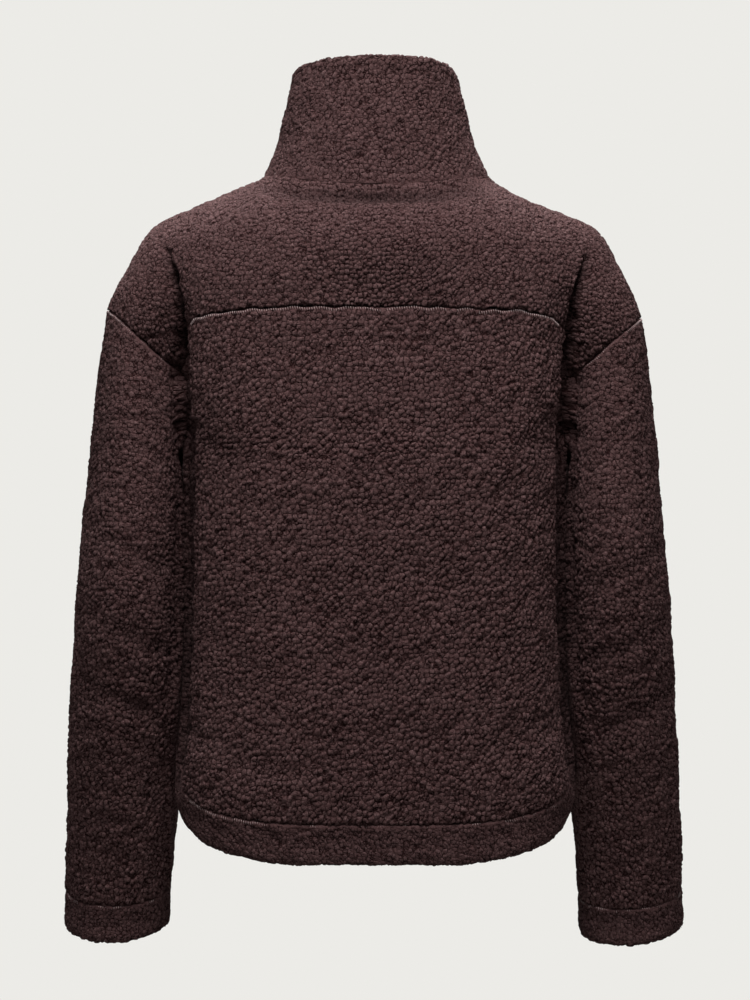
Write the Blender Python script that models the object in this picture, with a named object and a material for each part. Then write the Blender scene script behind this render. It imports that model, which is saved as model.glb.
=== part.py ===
"""Teddy jacket with a funnel collar, dropped shoulders, a back yoke and a closed front zip.

The jacket keeps the shape that it has on a wearer. Lengths are in millimetres and become
metres when a mesh is made. +X is the wearer's right, +Y is the front and +Z is up. The origin
is the middle of the neck opening at the height where the shoulders start.
"""

import math

import bpy
import numpy as np
from mathutils import Matrix, Vector

METRE = 0.001

# Cloth
FLEECE = 4.5
DOUBLED_FLEECE = 7.0
SEAM_GAP = 0.3
REST_GAP = 1.0
UNDERARM_EASE = 3.5
FOLD_STEPS = 5

# Torso: a squarish oval section at each height
SECTION_SQUARENESS = 3.4
TORSO = {
    "height": (-590, -575, -560, -545, -525, -500, -480, -440, -400, -300, -240, -200, -166, -110),
    "half_width": (160, 161, 163, 166, 170, 170, 167.5, 164, 162.5, 162, 163, 164.5, 166, 166.6),
    "back_depth": (114, 115, 116, 117, 118, 119, 119.5, 121, 122.5, 126, 127, 126.5, 125, 121),
    "front_depth": (119, 120, 121, 122, 123, 124, 125, 127, 128, 131, 131, 129, 126, 118),
}

# Hem: lowest at the centre back
HEM_BAND = 36
HEM_HEIGHT = {"back": -577, "side": -521, "front": -545}

# Back yoke's seam, which dips towards the armhole
YOKE_SEAM = {
    "share": (0, 0.35, 0.62, 0.78, 0.88, 0.95, 1),
    "drop": (0, 0.5, 2.5, 7, 14, 26, 52),
}
YOKE_HEIGHT = -114

# Armhole
UNDERARM = -240
CREASE_DEPTH = 44
SHOULDER_BULGE = 24
CHEST_AND_BLADE_BULGE = {"front": 5, "back": 8}

# Neck opening, shoulder seam and funnel collar
NECK = {
    "half_width": 98,
    "side_height": 3,
    "depth": {"back": 84, "front": 98},
    "height": {"back": -11, "front": -55},
}
SHOULDER_SEAM_FORWARD = 14
COLLAR_TOP = {
    "half_width": 71,
    "depth": {"back": 71, "front": 69},
    "height": {"back": 99, "front": 62},
}
COLLAR_TAPER = {
    "rise": (0, 0.14, 0.3, 0.48, 0.66, 0.83, 1),
    "share": (0, 0.25, 0.45, 0.61, 0.74, 0.89, 1),
}

# Shoulder outline from the neck to the armhole, and each sleeve's hang
SIDES = {
    "left": {
        "sign": -1,
        "shoulder_height": (-8, -16, -25, -38, -50, -62, -75, -88, -100, -111),
        "shoulder_reach": (114, 134, 156, 184, 197, 204.5, 211, 218, 224, 228),
        "crease_foot": -166,
        "cuff_back": -658,
        "cuff_out": -1,
        "outer": (224, 231.5, 236, 241.5, 246, 252, 257, 260, 263, 266, 268, 270, 272),
    },
    "right": {
        "sign": 1,
        "shoulder_height": (-9, -17, -27, -38, -50, -62, -75, -88, -102, -117),
        "shoulder_reach": (110, 126, 150, 182, 196, 203.5, 209.5, 216, 222, 228),
        "crease_foot": -170,
        "cuff_back": -661,
        "cuff_out": 4,
        "outer": (223, 231, 234, 239, 243, 248, 252.5, 255.5, 259, 263, 266, 268.5, 271),
    },
}
SLEEVE = {
    "height": (-100, -139, -166, -200, -240, -300, -350, -392, -440, -492, -540, -595, -650),
    "inner": (162, 163, 163, 162, 160, 159, 159, 159, 160, 165, 171, 176, 179),
    "centre": (0, 0, 0, 0, 0, -3, -3, 0, 7, 17, 27, 39, 51),
    "half_depth": (50, 58, 62, 65, 67, 66, 63, 59, 55, 51.5, 49, 47, 46),
}
CUFF_BAND = 35
CUFF_TILT = 0.25

# Front zip: the channel between the fronts, the tapes, the closed teeth and the metal parts
ZIP_CHANNEL = 7
ZIP_DEPTH = 2.9
TAPE = {"inner": 3.3, "outer": 6.7, "thickness": 1.0}
TEETH = {"half_width": 3.0, "thickness": 1.9, "end_in_slider": 5.0}
ZIP_TOP = 9
ZIP_BOTTOM = 7
RETAINER = {"width": 9.0, "length": 9.0, "thickness": 3.4}
TOP_STOP = {"inner": 0.9, "outer": 3.0, "length": 3.0, "thickness": 2.4}
SLIDER = {"width": 10.4, "length": 15.0, "plate": 1.3, "inside": 2.5, "post": 2.6}
BRIDGE = {"inner": 2.4, "outer": 3.4, "width": 2.6, "below_top": 5.5, "hinge_height": 1.2, "sunk": 0.5}
PULL = {"length": 30.0, "width": 7.6, "thickness": 1.3, "window": 5.6, "window_width": 4.4}

# Mesh density: columns from the centre outwards, and rows of each stretch
COLUMNS = {"neck": 8, "crease": 6, "armhole": 6}
ROWS = {"below_arm": 9, "beside_arm": 6, "over_shoulder": 8, "sleeve": 14, "collar": 7, "band": 2}
CORNER_SHARE = {"neck": 0.42, "crease": 0.86}
CREASE_ON_SHOULDER = 0.5
PATH_STEP = 9.0

COLOURS = {
    "teddy_fleece": ((0.072, 0.040, 0.038, 1), 0.95, 0.0),
    "zip_tape": ((0.030, 0.020, 0.020, 1), 0.85, 0.0),
    "zip_metal": ((0.055, 0.045, 0.045, 1), 0.35, 0.9),
}


def curve(xs, ys):
    """A smooth curve through short tables that never overshoots them: cubic pieces whose
    slope at each row is the harmonic mean of the slopes on either side."""
    xs, ys = np.array(xs, float), np.array(ys, float)
    if xs[0] > xs[-1]:
        xs, ys = xs[::-1], ys[::-1]
    step, rise = np.diff(xs), np.diff(ys)
    slope = rise / step
    product, total = slope[:-1] * slope[1:], slope[:-1] + slope[1:]
    inner = np.where(product > 0, 2 * product / np.where(total == 0, 1, total), 0)
    slopes = np.concatenate([slope[:1], inner, slope[-1:]])

    def at(x):
        x = np.clip(x, xs[0], xs[-1])
        i = np.clip(np.searchsorted(xs, x, side="right") - 1, 0, len(step) - 1)
        t = (x - xs[i]) / step[i]
        start = (1 + 2 * t) * (1 - t) ** 2 * ys[i] + t * (1 - t) ** 2 * step[i] * slopes[i]
        end = t * t * (3 - 2 * t) * ys[i + 1] + t * t * (t - 1) * step[i] * slopes[i + 1]
        return start + end

    return at


HALF_WIDTH = curve(TORSO["height"], TORSO["half_width"])
DEPTH = {face: curve(TORSO["height"], TORSO[face + "_depth"]) for face in ("back", "front")}
SLEEVE_INNER = curve(SLEEVE["height"], SLEEVE["inner"])
SLEEVE_OUTER = {side: curve(SLEEVE["height"], SIDES[side]["outer"]) for side in SIDES}
SLEEVE_CENTRE = curve(SLEEVE["height"], SLEEVE["centre"])
SLEEVE_HALF_DEPTH = curve(SLEEVE["height"], SLEEVE["half_depth"])
YOKE_DROP = curve(YOKE_SEAM["share"], YOKE_SEAM["drop"])
TAPER = curve(COLLAR_TAPER["rise"], COLLAR_TAPER["share"])
FACING = {"back": -1, "front": 1}
TUBES = ("sleeve", "cuff", "collar")
ZIP_EDGES = {
    "front_left": (0,),
    "front_right": (0,),
    "hem_band_left": (0,),
    "hem_band_right": (0,),
    "collar": (0, -1),
}


def points(x, y, z):
    return np.stack(np.broadcast_arrays(x, y, z), axis=-1).astype(float)


def smooth_step(t):
    t = np.clip(t, 0, 1)
    return t * t * (3 - 2 * t)


def column_shares():
    """For each column from the centre to the armhole: its share of the yoke seam, its share
    of the shoulder seam (0 as far as the neck corner), and its share of the neck seam."""
    marks = np.cumsum([0, *COLUMNS.values()])
    place = np.arange(marks[-1] + 1)
    seam = curve(marks, (0, CORNER_SHARE["neck"], CORNER_SHARE["crease"], 1))(place)
    shoulder = curve(marks[1:], (0, CREASE_ON_SHOULDER, 1))(np.maximum(place, marks[1]))
    return seam, shoulder, np.minimum(place / marks[1], 1)


# Torso


def oval_radius(turn, width, depth):
    """Distance from the middle of the squarish oval, at an angle from its back or front."""
    n = SECTION_SQUARENESS
    across, along = np.abs(np.sin(turn)) / width, np.abs(np.cos(turn)) / depth
    return (across**n + along**n) ** (-1 / n)


def turn_at_depth(height, face, edge_depth):
    """The angle at which the oval lies edge_depth behind or before the middle."""
    n = SECTION_SQUARENESS
    across = HALF_WIDTH(height) * (1 - (edge_depth / DEPTH[face](height)) ** n) ** (1 / n)
    return np.arctan2(across, edge_depth)


def first_turn(face):
    """The angle where a panel starts: the centre back, or the edge of the zip channel."""
    return 0 if face == "back" else math.atan2(ZIP_CHANNEL, DEPTH["front"](UNDERARM))


def torso_row(side, face, turn, height):
    """Points of the torso's oval at each angle and height."""
    radius = oval_radius(turn, HALF_WIDTH(height), DEPTH[face](height))
    x = radius * np.sin(turn)
    if face == "front":
        x = np.maximum(x, ZIP_CHANNEL)
        x[0] = ZIP_CHANNEL
    return points(SIDES[side]["sign"] * x, FACING[face] * radius * np.cos(turn), height)


def torso_side(y, height):
    """How far the torso reaches sideways at a depth y; 0 before and behind it."""
    n = SECTION_SQUARENESS
    depth = np.where(y < 0, DEPTH["back"](height), DEPTH["front"](height))
    share = np.minimum(np.abs(y) / depth, 1)
    return HALF_WIDTH(height) * (1 - share**n) ** (1 / n)


def yoke_line(side, face):
    """The yoke's seam, and the same line on the front: along the torso's oval from the
    centre, dipping to the foot of the armhole's crease. Gives angle and height."""
    seam = column_shares()[0]
    foot = SIDES[side]["crease_foot"]
    height = YOKE_HEIGHT + YOKE_DROP(seam) / YOKE_DROP(1) * (foot - YOKE_HEIGHT)
    last = turn_at_depth(foot, face, CREASE_DEPTH)
    return first_turn(face) + seam * (last - first_turn(face)), height


def hem_row(side, face, band):
    """The hem's folded edge for a band of 0, else a line that far above it. It falls evenly
    from the side to the centre back and the centre front."""
    turn = first_turn(face) + column_shares()[0] * (math.pi / 2 - first_turn(face))
    height = np.full(len(turn), HEM_HEIGHT["side"] + 0.0 + band)
    for _ in range(4):
        depth = DEPTH[face](height)
        share = oval_radius(turn, HALF_WIDTH(height), depth) * np.cos(turn) / depth
        height = HEM_HEIGHT["side"] + (HEM_HEIGHT[face] - HEM_HEIGHT["side"]) * share + band
    return torso_row(side, face, turn, height)


def hem_rows(side, face):
    return np.array([hem_row(side, face, b) for b in np.linspace(HEM_BAND, 0, ROWS["band"] + 1)])


def torso_rows(side, face):
    """Rows from the hem seam to the yoke line, from the centre to the side seam and, above
    the underarm, to the armhole."""
    start = hem_row(side, face, HEM_BAND)
    start_turn = np.arctan2(np.abs(start[:, 0]), np.abs(start[:, 1]))
    shares = column_shares()[0]
    under_turn = first_turn(face) + shares * (math.pi / 2 - first_turn(face))
    yoke_turn, yoke_height = yoke_line(side, face)
    foot = SIDES[side]["crease_foot"]
    rows = []
    for v in np.linspace(0, 1, ROWS["below_arm"] + 1)[:-1]:
        turn = start_turn + (under_turn - start_turn) * v
        rows.append(torso_row(side, face, turn, start[:, 2] + (UNDERARM - start[:, 2]) * v))
    for v in np.linspace(0, 1, ROWS["beside_arm"] + 1):
        edge_height = UNDERARM + (foot - UNDERARM) * v
        edge_depth = CREASE_DEPTH * math.sqrt(1 - (1 - v) ** 2)
        last = turn_at_depth(edge_height, face, edge_depth)
        turn = first_turn(face) + shares * (last - first_turn(face))
        turn = turn + (yoke_turn - turn) * v**4
        rows.append(torso_row(side, face, turn, UNDERARM + (yoke_height - UNDERARM) * v))
    return np.array(rows)


# Neck and shoulders


def neck_line(face):
    """The neck seam from the centre to the shoulder seam: half an oval that climbs to the
    side of the neck. Gives x, depth and height."""
    share = column_shares()[2]
    side_turn = math.acos(-SHOULDER_SEAM_FORWARD / NECK["depth"]["back"])
    corner = NECK["half_width"] * math.sin(side_turn)
    low, rise = NECK["height"][face], NECK["side_height"] - NECK["height"][face]
    if face == "back":
        turn = share * side_turn
        reach = NECK["half_width"] * np.sin(turn)
        climb = np.sin(np.minimum(turn, math.pi / 2)) ** 2
        return reach, NECK["depth"]["back"] * np.cos(turn), low + rise * climb
    first = math.asin(ZIP_CHANNEL / NECK["half_width"])
    last = math.acos(SHOULDER_SEAM_FORWARD / NECK["depth"]["front"])
    turn = first + share * (last - first)
    reach = NECK["half_width"] * np.sin(turn)
    reach = reach * (1 + share**4 * (corner / reach[-1] - 1))
    climb = 1 - np.cos(turn) ** 1.6
    climb = climb / climb[-1]
    return reach, NECK["depth"]["front"] * np.cos(turn), low + rise * climb


def over_shoulder(side, face):
    """Columns that rise from the yoke line and turn over to the neck or the shoulder seam.
    Each is an arc of an oval in an upright plane, so it looks straight from behind. The
    bulges are those of the shoulder blade or chest, and of the arm's top."""
    sizes = SIDES[side]
    shoulder, neck_share = column_shares()[1:]
    foot_turn, foot_z = yoke_line(side, face)
    foot = torso_row(side, face, foot_turn, foot_z)
    foot_x, foot_depth = np.abs(foot[:, 0]), np.abs(foot[:, 1])
    neck_x, neck_depth, neck_z = neck_line(face)
    reach = np.array([neck_x[-1], *sizes["shoulder_reach"]])
    level = np.array([neck_z[-1], *sizes["shoulder_height"]])
    along = np.concatenate([[0], np.cumsum(np.hypot(np.diff(reach), np.diff(level)))])
    on_neck = neck_share < 1
    end_x = np.where(on_neck, neck_x, curve(along, reach)(shoulder * along[-1]))
    end_z = np.where(on_neck, neck_z, curve(along, level)(shoulder * along[-1]))
    forward = FACING[face] * SHOULDER_SEAM_FORWARD
    end_depth = np.where(on_neck, neck_depth, forward)

    arm = SHOULDER_BULGE * smooth_step((shoulder - 0.35) / 0.65)
    blade = CHEST_AND_BLADE_BULGE[face] * (1 - smooth_step(shoulder / 0.8))
    last = np.full(len(shoulder), math.pi / 2)
    for _ in range(6):
        last = np.arccos(end_depth / (foot_depth + 2 * arm * np.sin(last)))
    turn = np.linspace(0, 1, ROWS["over_shoulder"] + 1)[:, None] * last
    depth = foot_depth * np.cos(turn) + arm * np.sin(2 * turn)
    depth = depth + blade * np.sin(math.pi * turn / last) ** 2
    rise = np.sin(turn) / np.sin(last)
    x = foot_x + (end_x - foot_x) * rise
    z = foot_z + (end_z - foot_z) * rise
    return points(sizes["sign"] * x, FACING[face] * depth, z)


def eased_at_neck(rows, first_row, corners):
    """The rows above first_row with the points near the neck's corners, but not those on an
    edge, drawn towards the middle of their neighbours, as cloth eases round a corner."""
    rows = rows.copy()
    height = np.clip((np.arange(len(rows)) - first_row) / (len(rows) - 1 - first_row), 0, 1)
    column = np.arange(rows.shape[1])
    near = np.max([np.clip(1 - np.abs(column - corner) / 6, 0, 1) for corner in corners], axis=0)
    weight = np.sin(math.pi * height)[:, None, None] * near[1:-1, None] / 2
    for _ in range(12):
        middle = (rows[:, :-2] + rows[:, 2:]) / 2
        rows[:, 1:-1] += (middle - rows[:, 1:-1]) * weight
    return rows


def yoke_rows():
    """The back yoke from its seam to the neck and the shoulder seams."""
    rows = both_halves(over_shoulder, "back")
    middle, corner = rows.shape[1] // 2, COLUMNS["neck"]
    return eased_at_neck(rows, 0, (middle - corner, middle + corner))


def front_rows(side):
    """One front from the hem seam over the shoulder, smoothed where the formulas meet."""
    low, high = torso_rows(side, "front"), over_shoulder(side, "front")
    rows = eased_at_neck(np.concatenate([low, high[1:]]), len(low) - 1, (COLUMNS["neck"],))
    meet = slice(len(low) - 3, len(low) + 2)
    for _ in range(4):
        middle = (rows[meet.start - 1 : meet.stop - 1] + rows[meet.start + 1 : meet.stop + 1]) / 2
        rows[meet, :-1] = (rows[meet, :-1] + middle[:, :-1]) / 2
    return rows


def collar_rows():
    """Rows from the neck seam to the folded top, from front edge round to front edge."""
    back, front = points(*neck_line("back")), points(*neck_line("front"))
    share = column_shares()[2]
    count = int((share < 1).sum()) + 1
    half = np.concatenate([front[: count - 1], back[:count][::-1] * (1, -1, 1)])
    seam = np.concatenate([half * (-1, 1, 1), half[::-1][1:]])
    turn = np.arctan2(seam[:, 0], -seam[:, 1])
    depth = np.where(np.cos(turn) > 0, COLLAR_TOP["depth"]["back"], COLLAR_TOP["depth"]["front"])
    drop = COLLAR_TOP["height"]["back"] - COLLAR_TOP["height"]["front"]
    top = points(
        COLLAR_TOP["half_width"] * np.sin(turn),
        -depth * np.cos(turn),
        COLLAR_TOP["height"]["back"] - drop * ((1 - np.cos(turn)) / 2) ** 2,
    )
    top[[0, -1], 0] = seam[[0, -1], 0]
    rows = []
    for rise in np.linspace(0, 1, ROWS["collar"] + 1):
        row = seam + (top - seam) * TAPER(rise)
        row[:, 2] = seam[:, 2] + (top[:, 2] - seam[:, 2]) * rise
        rows.append(row)
    return np.array(rows)


# Sleeves


def sleeve_ring(side, angle, height):
    """Points of the sleeve's oval: angle 0 is its outside, a quarter turn its back."""
    outer, inner = SLEEVE_OUTER[side](height), SLEEVE_INNER(height)
    x = (outer + inner) / 2 + (outer - inner) / 2 * np.cos(angle)
    y = SLEEVE_CENTRE(height) - SLEEVE_HALF_DEPTH(height) * np.sin(angle)
    return points(SIDES[side]["sign"] * x, y, height)


def angle_round_sleeve(side, place):
    """The angle at which each point stands round the sleeve's oval."""
    outer, inner = SLEEVE_OUTER[side](place[:, 2]), SLEEVE_INNER(place[:, 2])
    reach = SIDES[side]["sign"] * place[:, 0]
    across = (reach - (outer + inner) / 2) / ((outer - inner) / 2)
    along = (SLEEVE_CENTRE(place[:, 2]) - place[:, 1]) / SLEEVE_HALF_DEPTH(place[:, 2])
    return np.arctan2(along, across)


def clear_of_torso(side, row, t):
    """The row with its inner side pressed flat along the torso, a little away from it, and
    a soft round space under the arm where the sleeve turns down."""
    gap = REST_GAP + UNDERARM_EASE * min(1, t / 0.012) * (1 - smooth_step(t / 0.16))
    sign = SIDES[side]["sign"]
    reach = np.maximum(sign * row[:, 0], torso_side(row[:, 1], row[:, 2]) + gap)
    return points(sign * reach, row[:, 1], row[:, 2])


def cuff_height(side, angle, band):
    """Height of the cuff's edge, or of its seam: square to the forearm, lowest at the back."""
    low = SIDES[side]["cuff_back"] + band
    tilt = SLEEVE_HALF_DEPTH(low) * CUFF_TILT * (1 - np.sin(angle))
    return low + tilt + SIDES[side]["cuff_out"] * np.cos(angle)


def sleeve_rows(side, armhole):
    """Rings from the armhole seam to the cuff seam, and the angles of the last one. What
    sets the armhole off from the sleeve's oval fades out down the arm."""
    angle = np.unwrap(angle_round_sleeve(side, armhole))
    sense = np.sign(angle[-1] - angle[0])
    even = angle[0] + sense * 2 * math.pi * np.arange(len(angle)) / len(angle)
    off = armhole - sleeve_ring(side, angle, armhole[:, 2])
    rows = [armhole]
    for t in np.linspace(0, 1, ROWS["sleeve"] + 1)[1:] ** 1.6:
        turned = angle + (even - angle) * smooth_step(t / 0.45)
        end = cuff_height(side, turned, CUFF_BAND)
        height = armhole[:, 2] + (end - armhole[:, 2]) * t
        row = sleeve_ring(side, turned, height) + off * max(0, 1 - t / 0.3) ** 2
        rows.append(clear_of_torso(side, row, t))
    return np.array(rows), even


def cuff_rows(side, angle):
    """Rings from the cuff seam to the cuff's folded edge."""
    bands = np.linspace(CUFF_BAND, 0, ROWS["band"] + 1)
    return np.array([sleeve_ring(side, angle, cuff_height(side, angle, band)) for band in bands])


# From rows of points to solid cloth


def outward_normals(rows, closed=False):
    """Unit normals of a grid of points, away from the inside of the jacket or the sleeve:
    the sum of those of the cells round each point, each as long as its cell is large."""
    grid = np.concatenate([rows, rows[:, :1]], axis=1) if closed else rows
    cells = np.cross(grid[1:, 1:] - grid[:-1, :-1], grid[1:, :-1] - grid[:-1, 1:])
    normals = np.zeros_like(grid)
    for part in (normals[:-1, :-1], normals[:-1, 1:], normals[1:, :-1], normals[1:, 1:]):
        part += cells
    if closed:
        normals[:, 0] += normals[:, -1]
        normals = normals[:, :-1]
    normals = normals / np.linalg.norm(normals, axis=2, keepdims=True)
    middle = rows.mean(axis=(0, 1))
    if not closed:
        middle[1] = 0
    return normals * np.sign(((rows - middle) * normals).sum())


def share_normals(skins):
    """Where pieces meet at a seam, each of their points there gets the same normal. Where a
    sleeve or the collar meets two pieces at once, it counts as much as both of them."""
    places = np.concatenate([rows.reshape(-1, 3) for rows, _ in skins.values()])
    normals = np.concatenate([n.reshape(-1, 3) for _, n in skins.values()])
    tubes = [np.full(n[..., 0].size, name.startswith(TUBES)) for name, (_, n) in skins.items()]
    group, count = np.unique(np.round(places, 3), axis=0, return_inverse=True, return_counts=True)[1:]
    group = group.ravel()
    weight = np.where(np.concatenate(tubes), np.maximum(count[group] - 1, 1), 1)
    total = np.zeros_like(normals)
    np.add.at(total, group, normals * weight[:, None])
    total = total[group]
    total /= np.linalg.norm(total, axis=1, keepdims=True)
    start = 0
    for _, n in skins.values():
        count = n.shape[0] * n.shape[1]
        n[:] = total[start : start + count].reshape(n.shape)
        start += count


def square_to_zip(skins):
    """Edges along the zip are cut straight back, with no slant across it."""
    for piece, columns in ZIP_EDGES.items():
        for column in columns:
            normals = skins[piece][1][:, column]
            normals[:, 0] = 0
            normals /= np.linalg.norm(normals, axis=1, keepdims=True)


def without(vectors, directions):
    """What is left of each vector across a direction."""
    unit = directions / np.linalg.norm(directions, axis=1, keepdims=True)
    return vectors - (vectors * unit).sum(axis=1, keepdims=True) * unit


def pulled_in(rows, normals, edges):
    """The named edges moved back into the piece by half a seam's gap, square to the seam."""
    rows = rows.copy()
    for edge in edges:
        grid, facing = rows, normals
        if edge.endswith("column"):
            grid, facing = rows.swapaxes(0, 1), normals.swapaxes(0, 1)
        end, next_to = (0, 1) if edge.startswith("first") else (-1, -2)
        run = np.gradient(grid[end], axis=0)
        square = np.cross(run, np.cross(facing[end], run))
        inward = without(without(grid[next_to] - grid[end], run), square)
        grid[end] += inward * SEAM_GAP / 2 / np.linalg.norm(inward, axis=1, keepdims=True)
    return rows


def fold_over(outer, normals, thickness):
    """Rows that carry the last row round a fold of the cloth to its inner side."""
    radius = thickness / 2
    onward = outer[-1] - outer[-2]
    onward -= (onward * normals[-1]).sum(axis=1, keepdims=True) * normals[-1]
    onward /= np.linalg.norm(onward, axis=1, keepdims=True)
    middle = outer[-1] - radius * (normals[-1] + onward)
    turns = np.linspace(0, math.pi, FOLD_STEPS + 1)
    return [middle + radius * (math.cos(t) * normals[-1] + math.sin(t) * onward) for t in turns]


def cloth(name, rows, normals, thickness, seams, closed=False, folded=False):
    """A closed solid of cloth: its outer points, the same points moved inwards, and its
    edges. The last row ends in a round fold if the piece is folded there."""
    outer = pulled_in(rows, normals, seams)
    inner = outer - normals * thickness
    if folded:
        fold = fold_over(outer, normals, thickness)
        half = len(fold) // 2
        outer = np.concatenate([outer[:-1], fold[:half]])
        inner = np.concatenate([inner[:-1], fold[: half - 1 : -1]])
    sheet = np.concatenate([outer, inner[::-1]])
    count, width = sheet.shape[:2]
    index = np.arange(count * width).reshape(count, width)
    index = np.concatenate([index, index[:1]])
    if closed:
        index = np.concatenate([index, index[:, :1]], axis=1)
    quads = [quads_of(index)]
    if not closed:
        rungs = np.arange(count // 2 - 1)
        for column, turn in ((0, 1), (width - 1, -1)):
            side = index[:-1, column]
            caps = np.stack([side[rungs], side[rungs + 1], side[-2 - rungs], side[-1 - rungs]], axis=-1)
            quads.append(caps[:, ::turn])
    vertices = sheet.reshape(-1, 3)
    return solid(name, vertices, halved(vertices, np.concatenate(quads)), "teddy_fleece")


def quads_of(index):
    quads = np.stack([index[:-1, :-1], index[:-1, 1:], index[1:, 1:], index[1:, :-1]], axis=-1)
    return quads.reshape(-1, 4)


def halved(vertices, quads):
    """Each quad cut along its shorter diagonal, so that the two sides of a seam, which have
    the same twist, are cut the same way. Equal ones are cut at the lowest corner."""
    corners = vertices[quads]
    first = np.linalg.norm(corners[:, 0] - corners[:, 2], axis=1)
    second = np.linalg.norm(corners[:, 1] - corners[:, 3], axis=1)
    level = (corners * (0.11, 0.37, 1.0)).sum(axis=2)
    lowest_first = np.minimum(level[:, 0], level[:, 2]) < np.minimum(level[:, 1], level[:, 3])
    use_first = np.where(np.abs(first - second) < 0.02, lowest_first, first < second)
    across = np.where(use_first[:, None], quads, np.roll(quads, -1, axis=1))
    triangles = np.concatenate([across[:, [0, 1, 2]], across[:, [0, 2, 3]]])
    return triangles.tolist()


def solid(name, vertices, faces, material):
    """A named object from points in millimetres, its faces turned outwards."""
    mesh = bpy.data.meshes.new(name)
    mesh.from_pydata((np.asarray(vertices) * METRE).tolist(), [], faces)
    mesh.validate()
    mesh.calc_loop_triangles()
    volume = 0.0
    for triangle in mesh.loop_triangles:
        a, b, c = (mesh.vertices[i].co for i in triangle.vertices)
        volume += a.dot(b.cross(c))
    if volume < 0:
        mesh.flip_normals()
    mesh.shade_smooth()
    mesh.set_sharp_from_angle(angle=math.radians(40))
    mesh.materials.append(MATERIALS[material])
    made = bpy.data.objects.new(name, mesh)
    bpy.context.scene.collection.objects.link(made)
    return made


def colour_materials():
    made = {}
    for name, (colour, roughness, metallic) in COLOURS.items():
        material = bpy.data.materials.new(name)
        material.use_nodes = True
        surface = material.node_tree.nodes["Principled BSDF"]
        surface.inputs["Base Color"].default_value = colour
        surface.inputs["Roughness"].default_value = roughness
        surface.inputs["Metallic"].default_value = metallic
        made[name] = material
    return made


def both_halves(make, face):
    """The left and the right half of a back piece as one row of columns."""
    return np.concatenate([make("left", face)[:, ::-1], make("right", face)[:, 1:]], axis=1)


def armhole_loop(back, yoke, front, column):
    """The armhole from the underarm up the back, over the shoulder and down the front."""
    above = ROWS["below_arm"]
    return np.concatenate(
        [back[above:, column], yoke[1:, column], front[above + 1 : -1, -1][::-1]]
    )


def make_cloth():
    """Yoke, back, fronts, collar, sleeves, hem bands and cuffs."""
    grids = {
        "back_yoke": yoke_rows(),
        "back_panel": both_halves(torso_rows, "back"),
        "hem_band_back": both_halves(hem_rows, "back"),
        "collar": collar_rows(),
    }
    for side, column in (("left", 0), ("right", -1)):
        front = front_rows(side)
        armhole = armhole_loop(grids["back_panel"], grids["back_yoke"], front, column)
        sleeve, angle = sleeve_rows(side, armhole)
        grids[f"front_{side}"] = front
        grids[f"hem_band_{side}"] = hem_rows(side, "front")
        grids[f"sleeve_{side}"] = sleeve
        grids[f"cuff_{side}"] = cuff_rows(side, angle)

    open_sides = ("first_column", "last_column")
    makes = {
        "back_yoke": (FLEECE, ("first_row", "last_row", *open_sides)),
        "back_panel": (FLEECE, ("first_row", "last_row", *open_sides)),
        "front": (FLEECE, ("first_row", "last_row", "last_column")),
        "sleeve": (FLEECE, ("first_row", "last_row")),
        "collar": (DOUBLED_FLEECE, ("first_row",)),
        "hem_band_back": (DOUBLED_FLEECE, ("first_row", *open_sides)),
        "hem_band": (DOUBLED_FLEECE, ("first_row", "last_column")),
        "cuff": (DOUBLED_FLEECE, ("first_row",)),
    }
    rings = ("sleeve", "cuff")
    skins = {n: (rows, outward_normals(rows, n.startswith(rings))) for n, rows in grids.items()}
    share_normals(skins)
    square_to_zip(skins)
    for name, (rows, normals) in skins.items():
        kind = name if name in makes else name.rsplit("_", 1)[0]
        thickness, seams = makes[kind]
        folded = thickness == DOUBLED_FLEECE
        cloth(name, rows, normals, thickness, seams, name.startswith(rings), folded)
    return grids


# Zip


def zip_path(grids):
    """The middle of the zip from the hem up to the collar: place along it, depth and height,
    evenly spaced and rounded where the collar leaves the front."""
    edge = np.concatenate(
        [
            grids["hem_band_right"][::-1, 0],
            grids["front_right"][1:, 0],
            grids["collar"][1:, -1],
        ]
    )[:, 1:]
    length = np.concatenate([[0], np.cumsum(np.linalg.norm(np.diff(edge, axis=0), axis=1))])
    place = np.arange(0, length[-1], 1.0)
    y, z = np.interp(place, length, edge[:, 0]), np.interp(place, length, edge[:, 1])
    for _ in range(60):
        y[1:-1] = (y[:-2] + 2 * y[1:-1] + y[2:]) / 4
        z[1:-1] = (z[:-2] + 2 * z[1:-1] + z[2:]) / 4
    return place, y, z


def zip_frame(path, place):
    """Points of the zip's middle at each place along it, with the ways up and out."""
    y, z = np.interp(place, path[0], path[1]), np.interp(place, path[0], path[2])
    rise = np.stack(
        [
            np.interp(place, path[0], np.gradient(path[1])),
            np.interp(place, path[0], np.gradient(path[2])),
        ],
        axis=-1,
    )
    rise /= np.linalg.norm(rise, axis=-1, keepdims=True)
    up = np.concatenate([np.zeros_like(rise[..., :1]), rise], axis=-1)
    out = np.stack([np.zeros_like(y), rise[..., 1], -rise[..., 0]], axis=-1)
    return points(0, y, z) - out * ZIP_DEPTH, up, out


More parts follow.
